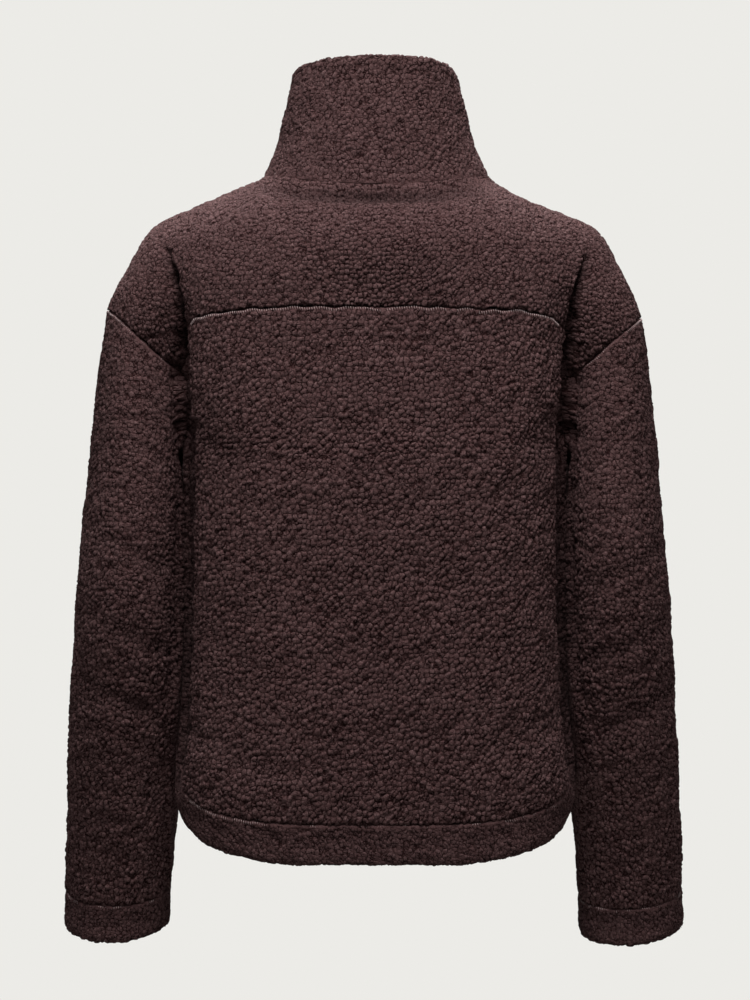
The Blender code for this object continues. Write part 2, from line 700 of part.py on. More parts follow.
def zip_strip(name, path, start, end, x_range, thickness, material):
    """A flat strip along the zip, square in section."""
    place = np.linspace(start, end, max(2, int((end - start) / PATH_STEP) + 1))
    middle, _, out = zip_frame(path, place)
    corners = ((0, -0.5), (1, -0.5), (1, 0.5), (0, 0.5))
    rings = [
        middle + out * thickness * depth + np.array((x_range[side], 0, 0)) for side, depth in corners
    ]
    rings = np.stack(rings, axis=1)
    count = len(place)
    index = np.arange(count * 4).reshape(count, 4)
    index = np.concatenate([index, index[:, :1]], axis=1)
    faces = [tuple(quad) for quad in quads_of(index).tolist()]
    faces += [tuple(index[0, :4][::-1].tolist()), tuple(index[-1, :4].tolist())]
    return solid(name, rings.reshape(-1, 3), faces, material)


def prism(outline, lower, upper):
    """Vertices and faces of an outline of (first, second) pairs carried from lower to upper."""
    count = len(outline)
    vertices = [(*pair, lower) for pair in outline] + [(*pair, upper) for pair in outline]
    faces = [tuple(range(count))[::-1], tuple(range(count, 2 * count))]
    faces += [(i, (i + 1) % count, (i + 1) % count + count, i + count) for i in range(count)]
    return vertices, faces


def rounded_rectangle(half_width, low, high, radius, steps=3):
    """Outline of an upright rectangle with round corners."""
    outline = []
    for quarter, (x, y) in enumerate(((1, high), (-1, high), (-1, low), (1, low))):
        middle = (x * (half_width - radius), y - math.copysign(radius, y - (low + high) / 2))
        for step in range(steps + 1):
            turn = math.pi / 2 * (quarter + step / steps)
            outline.append((middle[0] + radius * math.cos(turn), middle[1] + radius * math.sin(turn)))
    return outline


def place_on_zip(origin, up, out):
    """Turns local (across, up, out) millimetres into the jacket's."""
    turn = Matrix(((1, 0, 0), tuple(up), tuple(out))).transposed().to_4x4()
    return Matrix.Translation(Vector(origin)) @ turn


def joined(name, bodies, placed, material):
    """One solid from several overlapping prisms, placed on the zip."""
    made = []
    for vertices, faces in bodies:
        world = [tuple(placed @ Vector(v)) for v in vertices]
        made.append(solid(name, world, faces, material))
    body = made[0]
    for other in made[1:]:
        union = body.modifiers.new("union", "BOOLEAN")
        union.operation = "UNION"
        union.solver = "EXACT"
        union.object = other
    mesh = bpy.data.meshes.new_from_object(body.evaluated_get(bpy.context.evaluated_depsgraph_get()))
    for old in made:
        bpy.data.objects.remove(old)
    mesh.shade_smooth()
    mesh.set_sharp_from_angle(angle=math.radians(30))
    result = bpy.data.objects.new(name, mesh)
    bpy.context.scene.collection.objects.link(result)
    return result


def turned_sideways(body):
    """A prism drawn as (out, up) and carried across, given as (across, up, out)."""
    vertices, faces = body
    return [(v[2], v[1], v[0]) for v in vertices], [face[::-1] for face in faces]


def make_slider(path, middle_place):
    """Two plates round the teeth, the post that parts them and the bridge for the pull."""
    origin, up, out = zip_frame(path, middle_place)
    half = SLIDER["length"] / 2
    inside, face = SLIDER["inside"] / 2, SLIDER["inside"] / 2 + SLIDER["plate"]
    plate = rounded_rectangle(SLIDER["width"] / 2, -half, half, 2.2)
    post = rounded_rectangle(SLIDER["post"] / 2, half - 4.5, half - 0.5, 1.0)
    hinge = half - BRIDGE["below_top"]
    turns = [math.pi * i / 8 for i in range(9)]
    outer, inner, foot = BRIDGE["outer"], BRIDGE["inner"], face - BRIDGE["sunk"]
    arch = [(face + outer * math.sin(t), hinge - outer * math.cos(t)) for t in turns]
    arch += [(foot, hinge + outer), (foot, hinge + inner)]
    arch += [(face + inner * math.sin(t), hinge - inner * math.cos(t)) for t in reversed(turns)]
    arch += [(foot, hinge - inner), (foot, hinge - outer)]
    half_bridge = BRIDGE["width"] / 2
    bodies = [
        prism(plate, inside, face),
        prism(plate, -face, -inside),
        prism(post, -inside - 0.4, inside + 0.4),
        turned_sideways(prism(arch, -half_bridge, half_bridge)),
    ]
    joined("zip_slider", bodies, place_on_zip(origin, up, out), "zip_metal")
    pivot = np.array(origin) + up * hinge + out * (face + BRIDGE["hinge_height"])
    return pivot, up, out


def make_pull(pivot, up, out):
    """The pull tab: a plate with a window that leaves a bar under the bridge. Its origin is
    the bar's middle, which is the axis that it swings about."""
    bar = PULL["thickness"] / 2
    low = -PULL["length"] + bar
    outer = rounded_rectangle(PULL["width"] / 2, low, bar, 2.0, 4)
    window = rounded_rectangle(PULL["window_width"] / 2, -bar - PULL["window"], -bar, 0.8, 4)
    count = len(outer)
    rings = []
    for outline, level in ((outer, -bar), (outer, bar), (window, bar), (window, -bar)):
        rings.append([(x, y, level) for x, y in outline])
    placed = Matrix(((1, 0, 0), tuple(up), tuple(out))).transposed()
    vertices = [tuple(placed @ Vector(v)) for ring in rings for v in ring]
    faces = []
    for a in range(4):
        b = (a + 1) % 4
        for i in range(count):
            j = (i + 1) % count
            faces.append((a * count + i, a * count + j, b * count + j, b * count + i))
    made = solid("zip_pull", vertices, faces, "zip_metal")
    made.location = Vector(pivot) * METRE


def make_zip(grids):
    """Tapes, closed teeth, retainer, top stops, slider and pull."""
    path = zip_path(grids)
    bottom, top = ZIP_BOTTOM, path[0][-1] - ZIP_TOP
    stop = TOP_STOP["length"]
    slider_top = top - stop - 0.6
    for side in SIDES:
        sign = SIDES[side]["sign"]
        across = sorted((sign * TAPE["inner"], sign * TAPE["outer"]))
        start = bottom + RETAINER["length"] + SEAM_GAP
        zip_strip(f"zip_tape_{side}", path, start, top, across, TAPE["thickness"], "zip_tape")
        across = sorted((sign * TOP_STOP["inner"], sign * TOP_STOP["outer"]))
        name = f"zip_top_stop_{side}"
        zip_strip(name, path, top - stop, top, across, TOP_STOP["thickness"], "zip_metal")
    across = (-TEETH["half_width"], TEETH["half_width"])
    start = bottom + RETAINER["length"] + SEAM_GAP
    end = slider_top - TEETH["end_in_slider"]
    zip_strip("zip_teeth", path, start, end, across, TEETH["thickness"], "zip_metal")
    across = (-RETAINER["width"] / 2, RETAINER["width"] / 2)
    end = bottom + RETAINER["length"]
    zip_strip("zip_retainer", path, bottom, end, across, RETAINER["thickness"], "zip_metal")
    pivot, up, out = make_slider(path, slider_top - SLIDER["length"] / 2)
    make_pull(pivot, up, out)


for old in list(bpy.data.objects):
    bpy.data.objects.remove(old)
MATERIALS = colour_materials()
make_zip(make_cloth())
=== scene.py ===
# %% [markdown]
# # A teddy jacket, seen from the back
#
# The jacket is short, with a high funnel collar, a yoke over the shoulder blades, dropped
# shoulders, and doubled bands at the hem and the cuffs. Its cloth is a fleece whose pile curls
# into small tight pebbles. A closed zip runs up the front to the top of the collar.
#
# Lengths below are in millimetres, as on a pattern, and become metres when a mesh is made. +X is
# the wearer's right, +Y the front and +Z up. The origin is the middle of the neck opening.

import math

import bpy
import numpy as np
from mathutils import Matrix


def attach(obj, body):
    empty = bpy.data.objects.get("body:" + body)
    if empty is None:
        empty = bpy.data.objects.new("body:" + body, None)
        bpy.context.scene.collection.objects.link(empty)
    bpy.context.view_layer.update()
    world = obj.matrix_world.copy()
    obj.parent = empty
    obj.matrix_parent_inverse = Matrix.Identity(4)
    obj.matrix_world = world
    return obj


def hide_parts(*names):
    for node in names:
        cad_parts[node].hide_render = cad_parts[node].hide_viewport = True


METRE = 0.001

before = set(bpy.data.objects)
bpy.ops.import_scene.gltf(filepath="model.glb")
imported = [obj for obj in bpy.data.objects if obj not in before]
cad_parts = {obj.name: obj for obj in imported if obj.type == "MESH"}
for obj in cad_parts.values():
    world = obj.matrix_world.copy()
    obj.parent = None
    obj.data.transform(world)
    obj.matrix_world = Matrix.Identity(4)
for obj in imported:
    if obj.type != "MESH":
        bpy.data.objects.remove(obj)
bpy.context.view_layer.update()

# %% [markdown]
# ## Curves through short tables
#
# A pattern maker notes a width or a depth at a few heights and draws a fair curve through them.
# `curve` does the same: it passes through each row of a table and never swells past it.

# %% Curves and points


def curve(xs, ys):
    """Cubic pieces between the rows, whose slope at each row is the harmonic mean of the
    slopes on either side, or 0 where the table turns."""
    xs, ys = np.array(xs, float), np.array(ys, float)
    step, rise = np.diff(xs), np.diff(ys)
    slope = rise / step
    product, total = slope[:-1] * slope[1:], slope[:-1] + slope[1:]
    inner = np.where(product > 0, 2 * product / np.where(total == 0, 1, total), 0)
    slopes = np.concatenate([slope[:1], inner, slope[-1:]])

    def at(x):
        x = np.clip(x, xs[0], xs[-1])
        i = np.clip(np.searchsorted(xs, x, side="right") - 1, 0, len(step) - 1)
        t = (x - xs[i]) / step[i]
        start = (1 + 2 * t) * (1 - t) ** 2 * ys[i] + t * (1 - t) ** 2 * step[i] * slopes[i]
        end = t * t * (3 - 2 * t) * ys[i + 1] + t * t * (t - 1) * step[i] * slopes[i + 1]
        return start + end

    return at


def points(x, y, z):
    """Arrays of x, y and z, or single numbers, as one array of points."""
    return np.stack(np.broadcast_arrays(x, y, z), axis=-1).astype(float)


def smooth_step(t):
    """0 below 0, 1 above 1, and 3 t squared less 2 t cubed between."""
    t = np.clip(t, 0, 1)
    return t * t * (3 - 2 * t)


# %% [markdown]
# ## The torso
#
# The body of the jacket is a squarish oval at each height: |x / width| to the power 3.4 plus
# |y / depth| to the same power is 1. Widths and depths come from a table. The hem hangs lowest at
# the centre back. The yoke's seam runs level over the back and dips into the armholes.

# %% Torso, hem and yoke line
SECTION_SQUARENESS = 3.4
TORSO_HEIGHT = (-590, -575, -560, -545, -525, -500, -480, -440, -400, -300, -240, -200, -166, -110)
TORSO = {
    "half_width": (160, 161, 163, 166, 170, 170, 167.5, 164, 162.5, 162, 163, 164.5, 166, 166.6),
    "back": (114, 115, 116, 117, 118, 119, 119.5, 121, 122.5, 126, 127, 126.5, 125, 121),
    "front": (119, 120, 121, 122, 123, 124, 125, 127, 128, 131, 131, 129, 126, 118),
}
HEM_BAND = 36
HEM_HEIGHT = {"back": -577, "side": -521, "front": -545}
YOKE_DROP = curve((0, 0.35, 0.62, 0.78, 0.88, 0.95, 1), (0, 0.5, 2.5, 7, 14, 26, 52))
YOKE_HEIGHT = -114
UNDERARM = -240
CREASE_DEPTH = 44
ZIP_CHANNEL = 7
CREASE_FOOT = {"left": -166, "right": -170}
SIGN = {"left": -1, "right": 1}
FACING = {"back": -1, "front": 1}

COLUMNS = (0, 8, 14, 20)
ROWS = {"below_arm": 9, "beside_arm": 6, "over_shoulder": 8, "sleeve": 14, "collar": 7, "band": 2}
PLACE = np.arange(COLUMNS[-1] + 1)
SEAM_SHARE = curve(COLUMNS, (0, 0.42, 0.86, 1))(PLACE)
SHOULDER_SHARE = curve(COLUMNS[1:], (0, 0.5, 1))(np.maximum(PLACE, COLUMNS[1]))
NECK_SHARE = np.minimum(PLACE / COLUMNS[1], 1)

HALF_WIDTH = curve(TORSO_HEIGHT, TORSO["half_width"])
DEPTH = {face: curve(TORSO_HEIGHT, TORSO[face]) for face in FACING}
FIRST_TURN = {"back": 0, "front": math.atan2(ZIP_CHANNEL, DEPTH["front"](UNDERARM))}


def oval_radius(turn, width, depth):
    """Distance from the middle of the squarish oval, at an angle from its back or front."""
    n = SECTION_SQUARENESS
    return ((np.abs(np.sin(turn)) / width) ** n + (np.abs(np.cos(turn)) / depth) ** n) ** (-1 / n)


def turn_at_depth(height, face, edge_depth):
    """The angle at which the oval lies edge_depth behind or before the middle."""
    n = SECTION_SQUARENESS
    across = HALF_WIDTH(height) * (1 - (edge_depth / DEPTH[face](height)) ** n) ** (1 / n)
    return np.arctan2(across, edge_depth)


def torso_row(side, face, turn, height):
    """Points of the torso's oval at each angle and height."""
    radius = oval_radius(turn, HALF_WIDTH(height), DEPTH[face](height))
    x = radius * np.sin(turn)
    if face == "front":
        x = np.maximum(x, ZIP_CHANNEL)
        x[0] = ZIP_CHANNEL
    return points(SIGN[side] * x, FACING[face] * radius * np.cos(turn), height)


def torso_side(y, height):
    """How far the torso reaches sideways at a depth y."""
    n = SECTION_SQUARENESS
    depth = np.where(y < 0, DEPTH["back"](height), DEPTH["front"](height))
    return HALF_WIDTH(height) * (1 - np.minimum(np.abs(y) / depth, 1) ** n) ** (1 / n)


def yoke_line(side, face):
    """Angle and height along the yoke's seam, down to the foot of the armhole's crease."""
    foot = CREASE_FOOT[side]
    height = YOKE_HEIGHT + YOKE_DROP(SEAM_SHARE) / YOKE_DROP(1) * (foot - YOKE_HEIGHT)
    first, last = FIRST_TURN[face], turn_at_depth(foot, face, CREASE_DEPTH)
    return first + SEAM_SHARE * (last - first), height


def hem_row(side, face, band):
    """The hem's folded edge for a band of 0, else a line that far above it. It falls evenly
    from the side to the centre back and the centre front."""
    turn = FIRST_TURN[face] + SEAM_SHARE * (math.pi / 2 - FIRST_TURN[face])
    height = np.full(len(turn), HEM_HEIGHT["side"] + 0.0 + band)
    for _ in range(4):
        depth = DEPTH[face](height)
        share = oval_radius(turn, HALF_WIDTH(height), depth) * np.cos(turn) / depth
        height = HEM_HEIGHT["side"] + (HEM_HEIGHT[face] - HEM_HEIGHT["side"]) * share + band
    return torso_row(side, face, turn, height)


def hem_rows(side, face):
    """The hem band's rows from its seam down to its folded edge."""
    return np.array([hem_row(side, face, b) for b in np.linspace(HEM_BAND, 0, ROWS["band"] + 1)])


def torso_rows(side, face):
    """Rows from the hem seam to the yoke line, from the centre to the side seam and, above the
    underarm, to the armhole, whose edge is a quarter of an oval."""
    start = hem_row(side, face, HEM_BAND)
    start_turn = np.arctan2(np.abs(start[:, 0]), np.abs(start[:, 1]))
    first = FIRST_TURN[face]
    under_turn = first + SEAM_SHARE * (math.pi / 2 - first)
    yoke_turn, yoke_height = yoke_line(side, face)
    rows = []
    for v in np.linspace(0, 1, ROWS["below_arm"] + 1)[:-1]:
        turn = start_turn + (under_turn - start_turn) * v
        rows.append(torso_row(side, face, turn, start[:, 2] + (UNDERARM - start[:, 2]) * v))
    for v in np.linspace(0, 1, ROWS["beside_arm"] + 1):
        edge_height = UNDERARM + (CREASE_FOOT[side] - UNDERARM) * v
        last = turn_at_depth(edge_height, face, CREASE_DEPTH * math.sqrt(1 - (1 - v) ** 2))
        turn = first + SEAM_SHARE * (last - first)
        turn = turn + (yoke_turn - turn) * v**4
        rows.append(torso_row(side, face, turn, UNDERARM + (yoke_height - UNDERARM) * v))
    return np.array(rows)


print("torso:", 2 * max(TORSO["half_width"]), "mm wide, hem band", HEM_BAND, "mm high")

# %% [markdown]
# ## Neck and shoulders
#
# Yoke and fronts turn over the shoulder to meet at a seam a little before its top. Each column of
# points is an arc of an oval in an upright plane, from the yoke's line to the neck or the seam.

# %% Neck line, shoulders, yoke and fronts
NECK = {"half_width": 98, "side_height": 3}
NECK_DEPTH = {"back": 84, "front": 98}
NECK_HEIGHT = {"back": -11, "front": -55}
SHOULDER_SEAM_FORWARD = 14
SHOULDER_BULGE = 24
BLADE_BULGE = {"front": 5, "back": 8}
SHOULDER = {
    "left": {
        "height": (-8, -16, -25, -38, -50, -62, -75, -88, -100, -111),
        "reach": (114, 134, 156, 184, 197, 204.5, 211, 218, 224, 228),
    },
    "right": {
        "height": (-9, -17, -27, -38, -50, -62, -75, -88, -102, -117),
        "reach": (110, 126, 150, 182, 196, 203.5, 209.5, 216, 222, 228),
    },
}


def neck_line(face):
    """The neck seam from the centre to the shoulder seam: half an oval that climbs to the side
    of the neck. Gives x, depth and height."""
    side_turn = math.acos(-SHOULDER_SEAM_FORWARD / NECK_DEPTH["back"])
    low, rise = NECK_HEIGHT[face], NECK["side_height"] - NECK_HEIGHT[face]
    if face == "back":
        turn = NECK_SHARE * side_turn
        climb = np.sin(np.minimum(turn, math.pi / 2)) ** 2
        reach = NECK["half_width"] * np.sin(turn)
        return reach, NECK_DEPTH[face] * np.cos(turn), low + rise * climb
    first = math.asin(ZIP_CHANNEL / NECK["half_width"])
    last = math.acos(SHOULDER_SEAM_FORWARD / NECK_DEPTH["front"])
    turn = first + NECK_SHARE * (last - first)
    reach = NECK["half_width"] * np.sin(turn)
    corner = NECK["half_width"] * math.sin(side_turn)
    reach = reach * (1 + NECK_SHARE**4 * (corner / reach[-1] - 1))
    climb = 1 - np.cos(turn) ** 1.6
    return reach, NECK_DEPTH[face] * np.cos(turn), low + rise * climb / climb[-1]


def over_shoulder(side, face):
    """Columns that rise from the yoke line and turn over to the neck or the shoulder seam:
    depth is the foot's depth times the cosine of a turn, plus the bulges of arm and blade."""
    foot = torso_row(side, face, *yoke_line(side, face))
    foot_x, foot_depth, foot_z = np.abs(foot[:, 0]), np.abs(foot[:, 1]), foot[:, 2]
    neck_x, neck_depth, neck_z = neck_line(face)
    reach = np.array([neck_x[-1], *SHOULDER[side]["reach"]])
    level = np.array([neck_z[-1], *SHOULDER[side]["height"]])
    along = np.concatenate([[0], np.cumsum(np.hypot(np.diff(reach), np.diff(level)))])
    on_neck = NECK_SHARE < 1
    end_x = np.where(on_neck, neck_x, curve(along, reach)(SHOULDER_SHARE * along[-1]))
    end_z = np.where(on_neck, neck_z, curve(along, level)(SHOULDER_SHARE * along[-1]))
    end_depth = np.where(on_neck, neck_depth, FACING[face] * SHOULDER_SEAM_FORWARD)
    arm = SHOULDER_BULGE * smooth_step((SHOULDER_SHARE - 0.35) / 0.65)
    blade = BLADE_BULGE[face] * (1 - smooth_step(SHOULDER_SHARE / 0.8))
    last = np.full(len(SHOULDER_SHARE), math.pi / 2)
    for _ in range(6):
        last = np.arccos(end_depth / (foot_depth + 2 * arm * np.sin(last)))
    turn = np.linspace(0, 1, ROWS["over_shoulder"] + 1)[:, None] * last
    depth = foot_depth * np.cos(turn) + arm * np.sin(2 * turn)
    depth = depth + blade * np.sin(math.pi * turn / last) ** 2
    rise = np.sin(turn) / np.sin(last)
    x, z = foot_x + (end_x - foot_x) * rise, foot_z + (end_z - foot_z) * rise
    return points(SIGN[side] * x, FACING[face] * depth, z)


def eased_at_neck(rows, first_row, corners):
    """The points near the neck's corners drawn towards the middle of their neighbours, as
    cloth eases round a corner."""
    rows = rows.copy()
    height = np.clip((np.arange(len(rows)) - first_row) / (len(rows) - 1 - first_row), 0, 1)
    column = np.arange(rows.shape[1])
    near = np.max([np.clip(1 - np.abs(column - corner) / 6, 0, 1) for corner in corners], axis=0)
    weight = np.sin(math.pi * height)[:, None, None] * near[1:-1, None] / 2
    for _ in range(12):
        rows[:, 1:-1] += ((rows[:, :-2] + rows[:, 2:]) / 2 - rows[:, 1:-1]) * weight
    return rows


def both_halves(make, face):
    """The left and the right half of a back piece as one row of columns."""
    return np.concatenate([make("left", face)[:, ::-1], make("right", face)[:, 1:]], axis=1)


def yoke_rows():
    """The yoke from its seam over both shoulders, eased round the neck's corners."""
    rows = both_halves(over_shoulder, "back")
    middle, corner = rows.shape[1] // 2, COLUMNS[1]
    return eased_at_neck(rows, 0, (middle - corner, middle + corner))


def front_rows(side):
    """One front from the hem seam over the shoulder, smoothed where the formulas meet."""
    low, high = torso_rows(side, "front"), over_shoulder(side, "front")
    rows = eased_at_neck(np.concatenate([low, high[1:]]), len(low) - 1, (COLUMNS[1],))
    first, last = len(low) - 3, len(low) + 2
    for _ in range(4):
        middle = (rows[first - 1 : last - 1] + rows[first + 1 : last + 1]) / 2
        rows[first:last, :-1] = (rows[first:last, :-1] + middle[:, :-1]) / 2
    return rows


print("neck:", 2 * NECK["half_width"], "mm wide,", sum(NECK_DEPTH.values()), "mm deep")

# %% [markdown]
# ## Collar, sleeves and cuffs
#
# The collar is a funnel: its rows shrink from the neck seam to the folded top, quickly at first
# and then less. A sleeve is a tube of ovals whose first ring is the armhole itself. What sets the
# armhole off from the oval fades out down the arm, and the inner side is pressed flat along the
# torso.

# %% Collar, sleeve and cuff rows
COLLAR_TOP = {"half_width": 71, "back": 71, "front": 69, "back_height": 99, "front_height": 62}
TAPER = curve((0, 0.14, 0.3, 0.48, 0.66, 0.83, 1), (0, 0.25, 0.45, 0.61, 0.74, 0.89, 1))
SLEEVE_HEIGHT = (-650, -595, -540, -492, -440, -392, -350, -300, -240, -200, -166, -139, -100)
SLEEVE = {
    "left": (272, 270, 268, 266, 263, 260, 257, 252, 246, 241.5, 236, 231.5, 224),
    "right": (271, 268.5, 266, 263, 259, 255.5, 252.5, 248, 243, 239, 234, 231, 223),
    "inner": (179, 176, 171, 165, 160, 159, 159, 159, 160, 162, 163, 163, 162),
    "centre": (51, 39, 27, 17, 7, 0, -3, -3, 0, 0, 0, 0, 0),
    "depth": (46, 47, 49, 51.5, 55, 59, 63, 66, 67, 65, 62, 58, 50),
}
SLEEVE_OUTER = {side: curve(SLEEVE_HEIGHT, SLEEVE[side]) for side in SIGN}
SLEEVE_INNER = curve(SLEEVE_HEIGHT, SLEEVE["inner"])
SLEEVE_CENTRE = curve(SLEEVE_HEIGHT, SLEEVE["centre"])
SLEEVE_DEPTH = curve(SLEEVE_HEIGHT, SLEEVE["depth"])
CUFF_BAND = 35
CUFF_TILT = 0.25
CUFF_BACK = {"left": -658, "right": -661}
CUFF_OUT = {"left": -1, "right": 4}
REST_GAP = 1.0
UNDERARM_EASE = 3.5


def collar_rows():
    """Rows from the neck seam to the folded top, from front edge round to front edge."""
    back, front = points(*neck_line("back")), points(*neck_line("front"))
    count = COLUMNS[1] + 1
    half = np.concatenate([front[: count - 1], back[:count][::-1] * (1, -1, 1)])
    seam = np.concatenate([half * (-1, 1, 1), half[::-1][1:]])
    turn = np.arctan2(seam[:, 0], -seam[:, 1])
    depth = np.where(np.cos(turn) > 0, COLLAR_TOP["back"], COLLAR_TOP["front"])
    drop = COLLAR_TOP["back_height"] - COLLAR_TOP["front_height"]
    height = COLLAR_TOP["back_height"] - drop * ((1 - np.cos(turn)) / 2) ** 2
    top = points(COLLAR_TOP["half_width"] * np.sin(turn), -depth * np.cos(turn), height)
    top[[0, -1], 0] = seam[[0, -1], 0]
    rows = []
    for rise in np.linspace(0, 1, ROWS["collar"] + 1):
        row = seam + (top - seam) * TAPER(rise)
        row[:, 2] = seam[:, 2] + (top[:, 2] - seam[:, 2]) * rise
        rows.append(row)
    return np.array(rows)


def sleeve_ring(side, angle, height):
    """Points of the sleeve's oval: angle 0 is its outside, a quarter turn its back."""
    outer, inner = SLEEVE_OUTER[side](height), SLEEVE_INNER(height)
    x = (outer + inner) / 2 + (outer - inner) / 2 * np.cos(angle)
    y = SLEEVE_CENTRE(height) - SLEEVE_DEPTH(height) * np.sin(angle)
    return points(SIGN[side] * x, y, height)


def angle_round_sleeve(side, place):
    """The angle at which each point lies round the sleeve's oval at its height."""
    outer, inner = SLEEVE_OUTER[side](place[:, 2]), SLEEVE_INNER(place[:, 2])
    across = (SIGN[side] * place[:, 0] - (outer + inner) / 2) / ((outer - inner) / 2)
    behind = (SLEEVE_CENTRE(place[:, 2]) - place[:, 1]) / SLEEVE_DEPTH(place[:, 2])
    return np.arctan2(behind, across)


def clear_of_torso(side, row, t):
    """The row with its inner side pressed flat along the torso, a little away from it."""
    gap = REST_GAP + UNDERARM_EASE * min(1, t / 0.012) * (1 - smooth_step(t / 0.16))
    reach = np.maximum(SIGN[side] * row[:, 0], torso_side(row[:, 1], row[:, 2]) + gap)
    return points(SIGN[side] * reach, row[:, 1], row[:, 2])


def cuff_height(side, angle, band):
    """Height of the cuff's edge, or of its seam: square to the forearm, lowest at the back."""
    low = CUFF_BACK[side] + band
    tilt = SLEEVE_DEPTH(low) * CUFF_TILT * (1 - np.sin(angle))
    return low + tilt + CUFF_OUT[side] * np.cos(angle)


def sleeve_rows(side, armhole):
    """Rings from the armhole seam to the cuff seam, and the angles of the last one."""
    angle = np.unwrap(angle_round_sleeve(side, armhole))
    sense = np.sign(angle[-1] - angle[0])
    even = angle[0] + sense * 2 * math.pi * np.arange(len(angle)) / len(angle)
    off = armhole - sleeve_ring(side, angle, armhole[:, 2])
    rows = [armhole]
    for t in np.linspace(0, 1, ROWS["sleeve"] + 1)[1:] ** 1.6:
        turned = angle + (even - angle) * smooth_step(t / 0.45)
        end = cuff_height(side, turned, CUFF_BAND)
        height = armhole[:, 2] + (end - armhole[:, 2]) * t
        row = sleeve_ring(side, turned, height) + off * max(0, 1 - t / 0.3) ** 2
        rows.append(clear_of_torso(side, row, t))
    return np.array(rows), even


def cuff_rows(side, angle):
    """The cuff's rings from its seam down to its folded edge."""
    bands = np.linspace(CUFF_BAND, 0, ROWS["band"] + 1)
    return np.array([sleeve_ring(side, angle, cuff_height(side, angle, band)) for band in bands])


def armhole_loop(back, yoke, front, column):
    """From the underarm up the back, over the shoulder and down the front."""
    above = ROWS["below_arm"]
    return np.concatenate([back[above:, column], yoke[1:, column], front[above + 1 : -1, -1][::-1]])


print("collar:", COLLAR_TOP["back_height"] - NECK_HEIGHT["back"], "mm high at the back")

# %% [markdown]
# ## All pattern pieces as rows of points
#
# Pieces that are sewn together share the points of their seam and get the same normals there, so
# that their pile runs on from one to the next.

# %% Rows and normals of every piece
FLEECE = 4.5
DOUBLED_FLEECE = 7.0
TUBES = ("sleeve", "cuff", "collar")
RINGS = ("sleeve", "cuff")


def outward_normals(rows, closed=False):
    """The sum of the normals of the cells round each point, each as long as its cell is
    large, turned away from the inside."""
    grid = np.concatenate([rows, rows[:, :1]], axis=1) if closed else rows
    cells = np.cross(grid[1:, 1:] - grid[:-1, :-1], grid[1:, :-1] - grid[:-1, 1:])
    normals = np.zeros_like(grid)
    for part in (normals[:-1, :-1], normals[:-1, 1:], normals[1:, :-1], normals[1:, 1:]):
        part += cells
    if closed:
        normals[:, 0] += normals[:, -1]
        normals = normals[:, :-1]
    normals = normals / np.linalg.norm(normals, axis=2, keepdims=True)
    middle = rows.mean(axis=(0, 1))
    if not closed:
        middle[1] = 0
    return normals * np.sign(((rows - middle) * normals).sum())


def share_normals(skins):
    """The same normal for all points at one place. A tube counts as much as the two pieces
    that it meets."""
    places = np.concatenate([rows.reshape(-1, 3) for rows, _ in skins.values()])
    normals = np.concatenate([n.reshape(-1, 3) for _, n in skins.values()])
    tubes = np.concatenate(
        [np.full(n[..., 0].size, name.startswith(TUBES)) for name, (_, n) in skins.items()]
    )
    found = np.unique(np.round(places, 3), axis=0, return_inverse=True, return_counts=True)
    group, count = found[1].ravel(), found[2]
    weight = np.where(tubes, np.maximum(count[group] - 1, 1), 1)
    total = np.zeros_like(normals)
    np.add.at(total, group, normals * weight[:, None])
    total = total[group]
    total /= np.linalg.norm(total, axis=1, keepdims=True)
    start = 0
    for _, n in skins.values():
        n[:] = total[start : start + n[..., 0].size].reshape(n.shape)
        start += n[..., 0].size


grids = {
    "back_yoke": yoke_rows(),
    "back_panel": both_halves(torso_rows, "back"),
    "hem_band_back": both_halves(hem_rows, "back"),
    "collar": collar_rows(),
}
for side, column in (("left", 0), ("right", -1)):
    front = front_rows(side)
    armhole = armhole_loop(grids["back_panel"], grids["back_yoke"], front, column)
    sleeve, cuff_angle = sleeve_rows(side, armhole)
    grids[f"front_{side}"] = front
    grids[f"hem_band_{side}"] = hem_rows(side, "front")
    grids[f"sleeve_{side}"] = sleeve
    grids[f"cuff_{side}"] = cuff_rows(side, cuff_angle)

skins = {n: (rows, outward_normals(rows, n.startswith(RINGS))) for n, rows in grids.items()}
share_normals(skins)
ZIP_EDGES = {"front_left": (0,), "front_right": (0,), "hem_band_left": (0,), "hem_band_right": (0,)}
for name, columns in {**ZIP_EDGES, "collar": (0, -1)}.items():
    for column in columns:
        straight = skins[name][1][:, column]
        straight[:, 0] = 0
        straight /= np.linalg.norm(straight, axis=1, keepdims=True)
print("pattern pieces:", ", ".join(grids))

# %% [markdown]
# ## Fine grids
#
# A few dozen rows are enough for the form, but the pile needs a point every millimetre or two. A
# cubic spline through the rows, and then through the columns, gives as many as are wanted.

# %% Splines through rows and columns


def spline(knots, values, at):
    """The cubic curve through all values whose slope and bend run on without a break and whose
    ends are straight. Its bends solve one set of equations for all columns at once."""
    flat = values.reshape(len(values), -1)
    step = np.diff(knots)
    system, right = np.eye(len(knots)), np.zeros_like(flat)
    i = np.arange(1, len(knots) - 1)
    system[i, i - 1], system[i, i + 1] = step[:-1], step[1:]
    system[i, i] = 2 * (step[:-1] + step[1:])
    right[1:-1] = 6 * np.diff(np.diff(flat, axis=0) / step[:, None], axis=0)
    bend = np.linalg.solve(system, right)
    k = np.clip(np.searchsorted(knots, at, side="right") - 1, 0, len(step) - 1)
    h = step[k][:, None]
    b = (at - knots[k])[:, None] / h
    a = 1 - b
    bulge = (a**3 - a) * bend[k] + (b**3 - b) * bend[k + 1]
    result = a * flat[k] + b * flat[k + 1] + bulge * h**2 / 6
    return result.reshape(len(at), *values.shape[1:])


